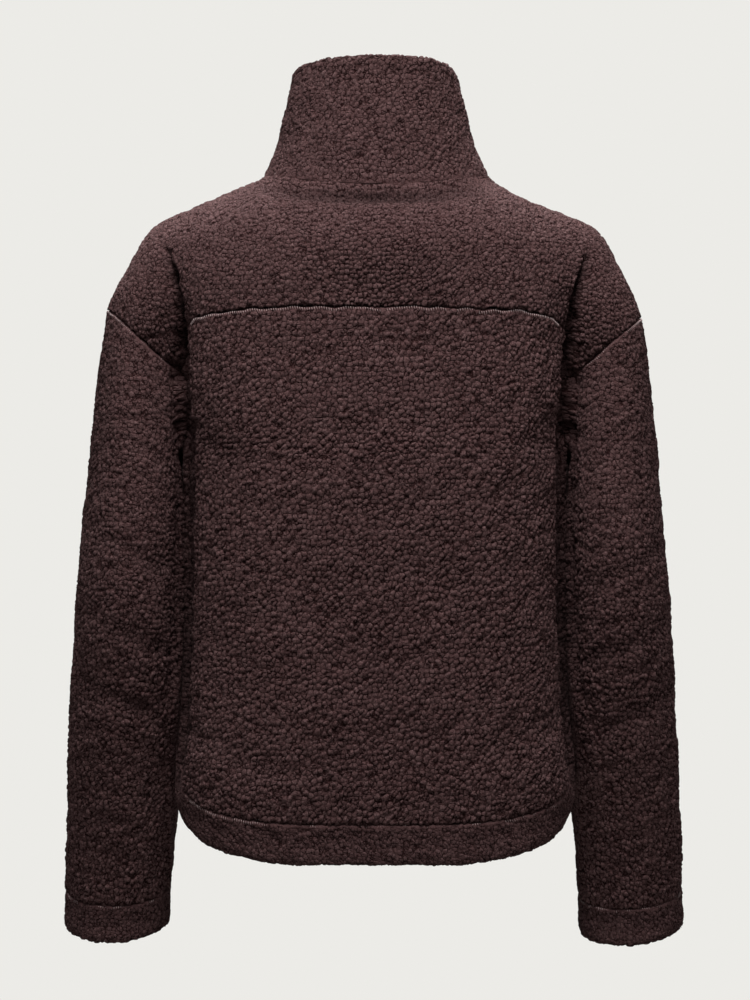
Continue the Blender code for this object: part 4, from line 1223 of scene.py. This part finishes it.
def make_fleece_group():
    """Colour and bump height of curly pile. Some creases between knots are deep and some close up;
    smaller knots and single fibres break up each knot. The creases and the smaller creases also
    darken the colour, which is painted shade, as does the painted shade that the vertices carry for
    folds and seam ditches."""
    group, given, made = new_group(
        "teddy_pile",
        (
            ("Place", "NodeSocketVector", (0, 0, 0)),
            ("Pile", "NodeSocketFloat", 1.0),
            ("PaintedShade", "NodeSocketFloat", 0.0),
            ("Tone", "NodeSocketFloat", 1.0),
        ),
        (("Colour", "NodeSocketColor"), ("Height", "NodeSocketFloat")),
    )
    place, pile = given.outputs["Place"], given.outputs["Pile"]
    wander = noise(group, place, 2.1, 2.0).outputs["Color"]
    vector = "ShaderNodeVectorMath"
    aside = scaled(group, chained(group, wander, ("SUBTRACT", (0.5, 0.5, 0.5)), kind=vector), 0.75)
    bent = chained(group, aside, ("ADD", place), kind=vector)
    knot = knots(group, bent, "F1")
    rim = knots(group, bent, "DISTANCE_TO_EDGE").outputs["Distance"]
    small_rim = knots(group, bent, "DISTANCE_TO_EDGE", 2.3).outputs["Distance"]
    fibres = noise(group, place, 7.0, 3.0, 0.7).outputs["Fac"]
    closing = mapped(group, noise(group, place, 0.9, 1.0).outputs["Fac"], 0.36, 0.60, 0.25, 1.0)
    lift = mapped(group, rim, 0.0, 0.13, 1.0, 0.0)
    crease = chained(group, lift, ("MULTIPLY", closing), ("MULTIPLY", pile))
    small = mapped(group, small_rim, 0.0, 0.15, 1.0, 0.0)
    small = chained(group, small, ("MULTIPLY", pile), ("MULTIPLY", 0.22))
    own = place_node(group, "ShaderNodeSeparateColor", {"Color": knot.outputs["Color"]}).outputs[0]
    # painted shade: the smaller creases darken the colour; fibres and each knot's own tone vary it
    shade = chained(group, fibres, ("MULTIPLY_ADD", 1.0, 0.14), ("SUBTRACT", small))
    own = chained(group, own, ("MULTIPLY_ADD", 0.12, -0.06), ("ADD", shade))
    # painted shade: the creases between knots darken the colour
    shade = chained(group, crease, ("MULTIPLY_ADD", -CREASE_PAINTED_SHADE, own))
    crushed = chained(group, pile, ("MULTIPLY_ADD", CRUSHED_DARKNESS, -CRUSHED_DARKNESS))
    colour = colour_ramp(group, chained(group, shade, ("ADD", crushed)), PILE_COLOURS)
    patches = noise(group, place, 0.35, 2.0).outputs["Fac"]
    tint = chained(group, patches, ("MULTIPLY_ADD", 0.24, 0.90))
    tint = chained(group, tint, ("MULTIPLY", given.outputs["Tone"]))
    # painted shade of deep folds and seam ditches darkens the colour
    dark = chained(group, given.outputs["PaintedShade"], ("MULTIPLY_ADD", -FOLD_AND_DITCH_PAINTED_SHADE, 1.0))
    colour = scaled(group, colour, chained(group, tint, ("MULTIPLY", dark)))
    group.links.new(colour, made.inputs["Colour"])
    dome = chained(group, knot.outputs["Distance"], ("POWER", 2.0), ("MULTIPLY", pile))
    height = chained(group, dome, ("ADD", crease), ("ADD", small), ("MULTIPLY", -1.0))
    height = chained(group, fibres, ("MULTIPLY_ADD", 0.7, height))
    group.links.new(height, made.inputs["Height"])
    return group


FLEECE_GROUP = make_fleece_group()


def fleece_material(name, tone):
    """The pile's group in a rough shader with a faint sheen, fed by what the vertices carry."""
    material, tree, shader = new_material(
        name,
        Roughness=0.95,
        Specular_IOR_Level=0.06,
        Sheen_Weight=0.04,
        Sheen_Roughness=0.4,
        Sheen_Tint=(0.62, 0.40, 0.40, 1),
    )
    group = place_node(tree, "ShaderNodeGroup", node_tree=FLEECE_GROUP)
    for label, output, socket in (
        ("pile", "Fac", "Pile"),
        ("painted_shade", "Fac", "PaintedShade"),
        ("curl_place", "Vector", "Place"),
    ):
        source = place_node(tree, "ShaderNodeAttribute", attribute_name=label)
        tree.links.new(source.outputs[output], group.inputs[socket])
    group.inputs["Tone"].default_value = tone
    finish_with(tree, shader, group.outputs["Colour"], group.outputs["Height"], 0.0015)
    return material


PANEL_FLEECE = fleece_material("teddy_fleece", 1.0)
BAND_FLEECE = fleece_material("teddy_fleece_bands", 0.92)
print("fleece:", PANEL_FLEECE.name, "and", BAND_FLEECE.name)

# %% [markdown]
# ## Knit, thread, tape and metal
#
# The other finishes are fine and plain: waves across each other for the loops of the knit and the
# weave of the tape, and noise for the twist of the thread and the wear of the plating. One pattern
# gives both the colour and the bump, so that what stands up is also what is paler. On the knit, the
# tape and the thread the darker low parts are painted shade; on the plating the paler patches are
# wear.

# %% Plain finishes


def on_surface(tree):
    """The place on the object, in metres, which a pattern keeps when the piece moves."""
    return place_node(tree, "ShaderNodeTexCoord").outputs["Object"]


def knit_material():
    """The plain back of the fleece: fine rows of loops."""
    material, tree, shader = new_material("fleece_back_knit", Roughness=0.9, Sheen_Weight=0.1)
    place = place_node(tree, "ShaderNodeUVMap", uv_map="pattern").outputs["UV"]
    loops = wave(tree, place, 2.6, Distortion=0.8, Detail=1.0)
    wales = wave(tree, place, 3.4, bands_direction="Y", Distortion=0.5, Detail=1.0)
    height = chained(tree, loops, ("MULTIPLY", wales))
    # painted shade: the colour darkens where the loops lie low
    stops = ((0.0, (0.014, 0.008, 0.008)), (1.0, (0.045, 0.028, 0.027)))
    finish_with(tree, shader, colour_ramp(tree, height, stops), height, 0.0004)
    return material


def thread_material():
    """Twisted thread, paler than the pile that it crosses."""
    material, tree, shader = new_material("seam_thread", Roughness=0.7, Specular_IOR_Level=0.2)
    twist = noise(tree, on_surface(tree), 900.0, 2.0).outputs["Fac"]
    # painted shade: the colour darkens where the twist lies low
    stops = ((0.3, (0.130, 0.086, 0.084)), (0.7, (0.350, 0.270, 0.265)))
    finish_with(tree, shader, colour_ramp(tree, twist, stops), twist, 0.0002)
    return material


def tape_material():
    """Herringbone zip tape: two fine waves across each other."""
    material, tree, shader = new_material("zip_tape_weave", Roughness=0.85, Specular_IOR_Level=0.1)
    place = on_surface(tree)
    weave = wave(tree, place, 330.0, bands_direction="Z")
    height = chained(tree, weave, ("MULTIPLY", wave(tree, place, 420.0)))
    # painted shade: the colour darkens where the weave lies low
    stops = ((0.0, (0.012, 0.006, 0.006)), (1.0, (0.052, 0.031, 0.030)))
    finish_with(tree, shader, colour_ramp(tree, height, stops), height, 0.0002)
    return material


def metal_material():
    """Dark satin plating, a little paler and smoother where it is handled."""
    material, tree, shader = new_material("dark_satin_metal", Metallic=1.0)
    wear = noise(tree, on_surface(tree), 260.0, 4.0).outputs["Fac"]
    stops = ((0.3, (0.055, 0.047, 0.046)), (0.75, (0.120, 0.105, 0.102)))
    rough = place_node(tree, "ShaderNodeMapRange", {"Value": wear}, To_Min=0.28, To_Max=0.46)
    tree.links.new(rough.outputs["Result"], shader.inputs["Roughness"])
    finish_with(tree, shader, colour_ramp(tree, wear, stops), wear, 0.00005)
    return material


KNIT, THREAD, TAPE, METAL = knit_material(), thread_material(), tape_material(), metal_material()
print("plain finishes:", ", ".join(m.name for m in (KNIT, THREAD, TAPE, METAL)))

# %% [markdown]
# ## Sewing the pieces together
#
# Each piece is laid with a pitch fine enough for its curls, a number of its own that moves its
# place in their pattern, and what its pile does at each edge. At a flat seam one piece lies under
# and its neighbour over it. The bands and the sleeves lie under the panels.

# %% Cloth pieces
SINGLE = (PANEL_FLEECE, KNIT)
OVER_SIDES = {"first_column": OVER, "last_column": OVER}
BACK_EDGES = {"first_row": OVER, "last_row": WAVY_UNDER, **OVER_SIDES}
YOKE_EDGES = {"first_row": WAVY_OVER, "last_row": PLAIN, **OVER_SIDES}
FRONT_EDGES = {"first_row": OVER, "last_row": PLAIN, "first_column": ON_TAPE, "last_column": OVER}
SLEEVE_EDGES = {"first_row": UNDER, "last_row": OVER}
BAND_EDGES = {"first_row": UNDER, "last_row": INSIDE}
ZIP_BAND_EDGES = {**BAND_EDGES, "first_column": ON_TAPE}
COLLAR_EDGES = {
    "first_row": SOFT,
    "last_row": INSIDE,
    "first_column": ON_TAPE,
    "last_column": ON_TAPE,
}
single_layer("back_panel", 1.5, 1, BACK_EDGES, SINGLE, "back", centred=True)
single_layer("back_yoke", 1.35, 2, YOKE_EDGES, SINGLE, "yoke", centred=True)
for number, side in enumerate(SIGN):
    single_layer(f"front_{side}", 2.0, 3 + number, FRONT_EDGES, SINGLE, "back")
    single_layer(f"sleeve_{side}", 1.7, 5 + number, SLEEVE_EDGES, SINGLE, "sleeve")
    doubled(f"cuff_{side}", 1.6, 9 + number, BAND_EDGES, (BAND_FLEECE,))
    doubled(f"hem_band_{side}", 1.7, 11 + number, ZIP_BAND_EDGES, (BAND_FLEECE,))
doubled("hem_band_back", 1.5, 7, BAND_EDGES, (BAND_FLEECE,), centred=True)
doubled("collar", 1.7, 8, COLLAR_EDGES, (PANEL_FLEECE,), kind="collar", centred=True)

# %% [markdown]
# ## Seam threads
#
# Fleece is joined edge to edge with a flat seam, whose thread shows as the rungs of a ladder. Each
# rung is the same small, bowed, three-sided bar, laid along the seam as one array. All the rungs of
# a seam are one mesh, since hundreds of small objects would be slow to handle.

# %% Ladder stitches
STITCH = {"pitch": 2.0, "half_width": 1.3, "aside": 3.7, "thread": 0.32, "bow": 0.35, "slant": 0.25}


def plain_object(name, vertices, triangles, material, smooth=True):
    """A small part of one material from points in millimetres."""
    mesh = triangle_mesh(name, vertices, triangles)
    if smooth:
        mesh.shade_smooth()
    print(f"{name}: {len(triangles)} triangles")
    return on_jacket(name, mesh, (material,))


def path_length(line):
    """The distance along a line of points, from its first point to each."""
    return np.concatenate([[0], np.cumsum(np.linalg.norm(np.diff(line, axis=0), axis=1))])


def even_path(line, normals, toward, closed):
    """The seam as points one pitch apart, with the ways out, along it, and across it to the
    seam's lower side."""
    both = np.concatenate([line, normals, toward], axis=1)
    if closed:
        both = np.concatenate([both[-3:], both, both[:4]])
    length = path_length(both[:, :3])
    first, last = (length[3], length[-4]) if closed else (length[0], length[-1])
    count = round((last - first) / STITCH["pitch"])
    both = spline(length, both, first + (last - first) * (np.arange(count) + 0.5) / count)
    place, out, toward = both[:, :3], both[:, 3:6], both[:, 6:]
    along = np.gradient(place, axis=0)
    if closed:
        along = (np.roll(place, -1, axis=0) - np.roll(place, 1, axis=0)) / 2
    along /= np.linalg.norm(along, axis=1, keepdims=True)
    out = out - (out * along).sum(axis=1, keepdims=True) * along
    out /= np.linalg.norm(out, axis=1, keepdims=True)
    across = np.cross(out, along)
    return place, out, along, across * np.sign((across * toward).sum())


def ladder(name, sunk, lines, wavy=False):
    """All stitches along the seams as one mesh, sunk so far into the pile. lines holds
    (points, normals, ways to the lower side, closed). Stitches in the armhole's fold are left
    out, since nothing shows there."""
    stitches, bar = [], tube_faces(3)
    for number, (line, normals, toward, closed) in enumerate(lines):
        place, out, along, across = even_path(line, normals, toward, closed)
        uneven = 0.3 * soft_waves(place, 38, 60 + number) + 0.25 * soft_waves(place, 9, 70 + number)
        lift = folded(place)[0] - sunk - uneven
        keep = visible_stitches(name, place)
        aside = STITCH["aside"] - (seam_wave(place) if wavy else 0)
        aside = aside + 0.35 * soft_waves(place, 11, 80 + number)
        place = place + out * lift[:, None] + across * aside[:, None]
        place, out, along, across = (v[keep] for v in (place, out, along, across))
        half = across * STITCH["half_width"] + along * STITCH["slant"]
        rung = [
            triangle_round(place + half * share + out * rise, out, along)
            for share, rise in ((-1, 0), (0, STITCH["bow"]), (1, 0))
        ]
        stitches.append(np.concatenate(rung, axis=1))
    stitches = np.concatenate(stitches)
    first = (np.arange(len(stitches)) * stitches.shape[1])[:, None, None]
    triangles = (bar[None] + first).reshape(-1, 3)
    return plain_object(name, stitches.reshape(-1, 3), triangles, THREAD)


def visible_stitches(name, place):
    """Which stitches lie outside the armhole's fold."""
    if name.startswith("yoke"):
        return np.abs(place[:, 0]) < YOKE_SEAM_SHOWS
    if name.startswith("armhole"):
        return place[:, 2] > ARMHOLE_SEAM_SHOWS
    return np.full(len(place), True)


def triangle_round(middle, up, side):
    """Three points round each middle, as far off as the thread is thick."""
    size = STITCH["thread"]
    low, aside = middle - up * size / 2, side * size * 0.87
    return np.stack([middle + up * size, low + aside, low - aside], axis=1)


def tube_faces(sections):
    """Triangles of a three-sided bar with the given number of sections, ends closed."""
    faces = [(0, 2, 1)]
    for s in range(sections - 1):
        for i in range(3):
            a, b = s * 3 + i, s * 3 + (i + 1) % 3
            faces += [(a, b, b + 3), (a, b + 3, a + 3)]
    last = (sections - 1) * 3
    return np.array(faces + [(last, last + 1, last + 2)])


def seam(name, row=0, columns=slice(None), closed=False):
    """The first or last row of the piece that lies under at a seam."""
    rows, normals = skins[name]
    toward = (rows[1] - rows[0]) if row == 0 else (rows[-2] - rows[-1])
    return rows[row, columns], normals[row, columns], toward[columns], closed


shoulders = (slice(0, COLUMNS[-1] - COLUMNS[1] + 1), slice(COLUMNS[-1] + COLUMNS[1], None))
ladder("yoke_seam_thread", 1.2, [seam("back_panel", -1)], wavy=True)
ladder("shoulder_seam_thread", 1.95, [seam("back_yoke", -1, columns=part) for part in shoulders])
ladder("neck_seam_thread", 1.9, [seam("collar")])
ladder("armhole_seam_thread", 1.35, [seam(f"sleeve_{side}", closed=True) for side in SIGN])
ladder("cuff_seam_thread", 1.85, [seam(f"cuff_{side}", closed=True) for side in SIGN])
ladder("hem_seam_thread", 1.85, [seam(f"hem_band_{part}") for part in ("back", "left", "right")])

# %% [markdown]
# ## The zip
#
# The teeth stand alternately on the two tapes and hook into each other. Each is a small block with
# a rounded head, set square on the zip's path. The path follows the fronts' edges from the hem to
# the top of the collar. Each tape also runs on under the teeth and under the cloth's edge, so that
# nothing shows through.

# %% Zip path, teeth and tape backs
ZIP_DEPTH = 2.9
ZIP_BOTTOM, ZIP_TOP = 7, 9
RETAINER_LENGTH, STOP_LENGTH, SLIDER_ROOM = 9.0, 3.0, 5.6
TAPE_BACK = {"across": 9.0, "depth": (3.45, 3.95), "from_hem": 2.0, "rows": 220}
TOOTH = {"pitch": 1.3, "length": 1.05, "half_height": 0.92}
HOOK = ((-0.75, 0.0), (-0.6, 0.42), (-0.1, 0.5), (0.35, 0.34), (2.95, 0.5))
TOOTH_OUTLINE = np.array(HOOK + tuple((x, -y) for x, y in HOOK[:0:-1]))


def zip_path():
    """Length, depth and height along the zip's middle, rounded where the collar starts."""
    band, front, collar = (grids[name] for name in ("hem_band_right", "front_right", "collar"))
    edge = np.concatenate([band[::-1, 0], front[1:, 0], collar[1:, -1]])[:, 1:]
    length = path_length(edge)
    place = np.arange(0, length[-1], 1.0)
    y, z = np.interp(place, length, edge[:, 0]), np.interp(place, length, edge[:, 1])
    for _ in range(60):
        y[1:-1] = (y[:-2] + 2 * y[1:-1] + y[2:]) / 4
        z[1:-1] = (z[:-2] + 2 * z[1:-1] + z[2:]) / 4
    return place, y, z


ZIP_PATH = zip_path()


def along_zip(at):
    """At each length along the zip: its point, the way up along it, and the way out."""
    place, y, z = ZIP_PATH
    rise = points(0, np.interp(at, place, np.gradient(y)), np.interp(at, place, np.gradient(z)))
    rise /= np.linalg.norm(rise, axis=1, keepdims=True)
    middle = points(0, np.interp(at, place, y), np.interp(at, place, z))
    return middle, rise, points(0, rise[:, 2], -rise[:, 1])


def make_teeth():
    """Each tooth is its outline carried through the tape's thickness, on the left and on the
    right in turn."""
    start = ZIP_BOTTOM + RETAINER_LENGTH + 0.3 + TOOTH["length"] / 2
    end = ZIP_PATH[0][-1] - ZIP_TOP - STOP_LENGTH - SLIDER_ROOM - TOOTH["length"] / 2
    at = np.arange(start, end, TOOTH["pitch"])
    middle, up, out = along_zip(at)
    middle = middle - out * ZIP_DEPTH
    turn = np.where(np.arange(len(at)) % 2 == 0, 1.0, -1.0)[:, None, None]
    x = TOOTH_OUTLINE[None, :, :1] * turn * (1, 0, 0)
    lift = TOOTH_OUTLINE[None, :, 1:] * TOOTH["length"] * up[:, None]
    flat = middle[:, None] + x + lift
    rings = [flat + out[:, None] * TOOTH["half_height"] * s for s in (-1, 1)]
    vertices = np.concatenate(rings, axis=1).reshape(-1, 3)
    n = len(TOOTH_OUTLINE)
    faces = [(i, (i + 1) % n, (i + 1) % n + n) for i in range(n)]
    faces += [(i, (i + 1) % n + n, i + n) for i in range(n)]
    faces += [(0, i + 1, i) for i in range(1, n - 1)]
    faces += [(n, n + i, n + i + 1) for i in range(1, n - 1)]
    triangles = np.array(faces)[None] + (np.arange(len(at)) * 2 * n)[:, None, None]
    triangles[1::2] = triangles[1::2, :, ::-1]
    return plain_object("zip_teeth_rows", vertices, triangles.reshape(-1, 3), METAL, smooth=False)


def make_tape_backs():
    """The parts of both tapes that lie under the teeth and under the cloth's edge: flat strips
    along the zip's path, behind the solids of the tapes' visible parts."""
    at = np.linspace(TAPE_BACK["from_hem"], ZIP_PATH[0][-1] - ZIP_TOP, TAPE_BACK["rows"])
    middle, _, out = along_zip(at)
    near, far = TAPE_BACK["depth"]
    section = ((0, near), (TAPE_BACK["across"], near), (TAPE_BACK["across"], far), (0, far))
    strips, faces = [], []
    for turn in (-1, 1):
        ring = [middle - out * depth + points(turn * across, 0, 0) for across, depth in section]
        index = np.arange(4 * len(at)).reshape(len(at), 4) + len(strips) * 4 * len(at)
        sides = grid_faces(np.concatenate([index, index[:, :1]], axis=1))
        ends = [index[0, [0, 1, 2]], index[0, [0, 2, 3]]]
        ends += [index[-1, [0, 2, 1]], index[-1, [0, 3, 2]]]
        strips.append(np.stack(ring, axis=1).reshape(-1, 3))
        faces.append(np.concatenate([sides, ends])[:, ::turn])
    vertices, triangles = np.concatenate(strips), np.concatenate(faces)
    return plain_object("zip_tape_backs", vertices, triangles, TAPE, smooth=False)


make_tape_backs()
teeth = make_teeth()
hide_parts("zip_teeth")

# %% [markdown]
# ## Finishes of the zip's solids
#
# The tapes' visible parts, the slider, its pull, the stops and the retainer keep the solids that
# they have, which are exact already. They only need the woven and the plated finish.

# %% Tape and metal on the solids
for name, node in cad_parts.items():
    if name.startswith("zip_") and name != "zip_teeth":
        node.data.materials.clear()
        node.data.materials.append(TAPE if "tape" in name else METAL)
        print(name, "has", node.data.materials[0].name)

# %% [markdown]
# ## Camera
#
# A long lens from straight behind, level with the jacket's middle, keeps its sides parallel, as in
# the photograph. The lens is worked out from the distance and from how many metres one pixel shows.

# %% Camera
SCALE = 0.00086
CAMERA_DISTANCE = 2.6
CAMERA_HEIGHT = -0.275
SENSOR = 24
camera_data = bpy.data.cameras.new("camera")
camera_data.sensor_fit = "VERTICAL"
camera_data.sensor_height = SENSOR
camera_data.lens = SENSOR * CAMERA_DISTANCE / (1000 * SCALE)
camera = bpy.data.objects.new("camera", camera_data)
camera.location = (0, -CAMERA_DISTANCE, CAMERA_HEIGHT)
camera.rotation_euler = (math.pi / 2, 0, 0)
bpy.context.scene.collection.objects.link(camera)
bpy.context.scene.camera = camera
bpy.context.scene.view_settings.view_transform = "Standard"
print("lens:", round(camera_data.lens, 1), "mm")

# %% [markdown]
# ## Light and floor
#
# The photograph has an even, pale ground and soft light from above. A pale world gives the ground
# and the even light. A wide lamp high over the jacket's back shades the forms from above, and a
# second one does so for its front. The floor lies low enough to keep its shadow out of the picture.

# %% Light
GROUND_COLOUR = (0.839, 0.831, 0.799, 1)
SKY = ((0.0, 0.012), (0.42, 0.035), (0.58, 0.17), (1.0, 1.25))
LAMP = {"size": 0.8, "power": 66, "height": 1.5, "away": 0.95}


def make_world():
    """The camera sees the even ground. The jacket gets light that grows from below to above."""
    world = bpy.data.worlds.new("studio")
    world.use_nodes = True
    tree = world.node_tree
    ground = tree.nodes["Background"]
    ground.inputs["Color"].default_value = GROUND_COLOUR
    way = place_node(tree, "ShaderNodeTexCoord").outputs["Generated"]
    upright = place_node(tree, "ShaderNodeSeparateXYZ", {"Vector": way}).outputs["Z"]
    share = place_node(tree, "ShaderNodeMapRange", {"Value": upright}, From_Min=-1.0)
    sky = colour_ramp(tree, share.outputs["Result"], [(at, (v, v, v)) for at, v in SKY])
    light = place_node(tree, "ShaderNodeBackground", {"Color": sky})
    seen = place_node(tree, "ShaderNodeLightPath").outputs["Is Camera Ray"]
    either = place_node(tree, "ShaderNodeMixShader")
    for socket, source in enumerate((seen, light.outputs[0], ground.outputs[0])):
        tree.links.new(source, either.inputs[socket])
    tree.links.new(either.outputs[0], tree.nodes["World Output"].inputs["Surface"])
    bpy.context.scene.world = world


def lamp(name, place, aim):
    """A round lamp that faces the aim."""
    data = bpy.data.lights.new(name, "AREA")
    data.shape, data.size, data.energy = "DISK", LAMP["size"], LAMP["power"]
    made = bpy.data.objects.new(name, data)
    made.location = place
    x, y, z = np.subtract(aim, place)
    made.rotation_euler = (math.atan2(np.hypot(x, y), -z), 0, math.atan2(-x, y))
    bpy.context.scene.collection.objects.link(made)
    print(name, "at", place)


make_world()
lamp("overhead_back", (0.0, -LAMP["away"], LAMP["height"]), (0, -0.05, -0.25))
lamp("overhead_front", (0.0, LAMP["away"], LAMP["height"]), (0, 0, -0.25))

# %% Floor
FLOOR = {"height": -2.2, "radius": 1.4, "corners": 96, "colour": (0.84, 0.83, 0.80, 1)}
round_floor = np.linspace(0, 2 * math.pi, FLOOR["corners"] + 1)[:-1]
floor_mesh = bpy.data.meshes.new("floor")
across, along = FLOOR["radius"] * np.cos(round_floor), FLOOR["radius"] * np.sin(round_floor)
corners = points(across, along, FLOOR["height"]).tolist()
floor_mesh.from_pydata(corners, [], [tuple(range(FLOOR["corners"]))])
pale_floor = new_material("pale_floor", Base_Color=FLOOR["colour"], Roughness=0.9)[0]
floor_mesh.materials.append(pale_floor)
floor = bpy.data.objects.new("floor", floor_mesh)
bpy.context.scene.collection.objects.link(floor)
print("floor:", FLOOR["height"], "m")
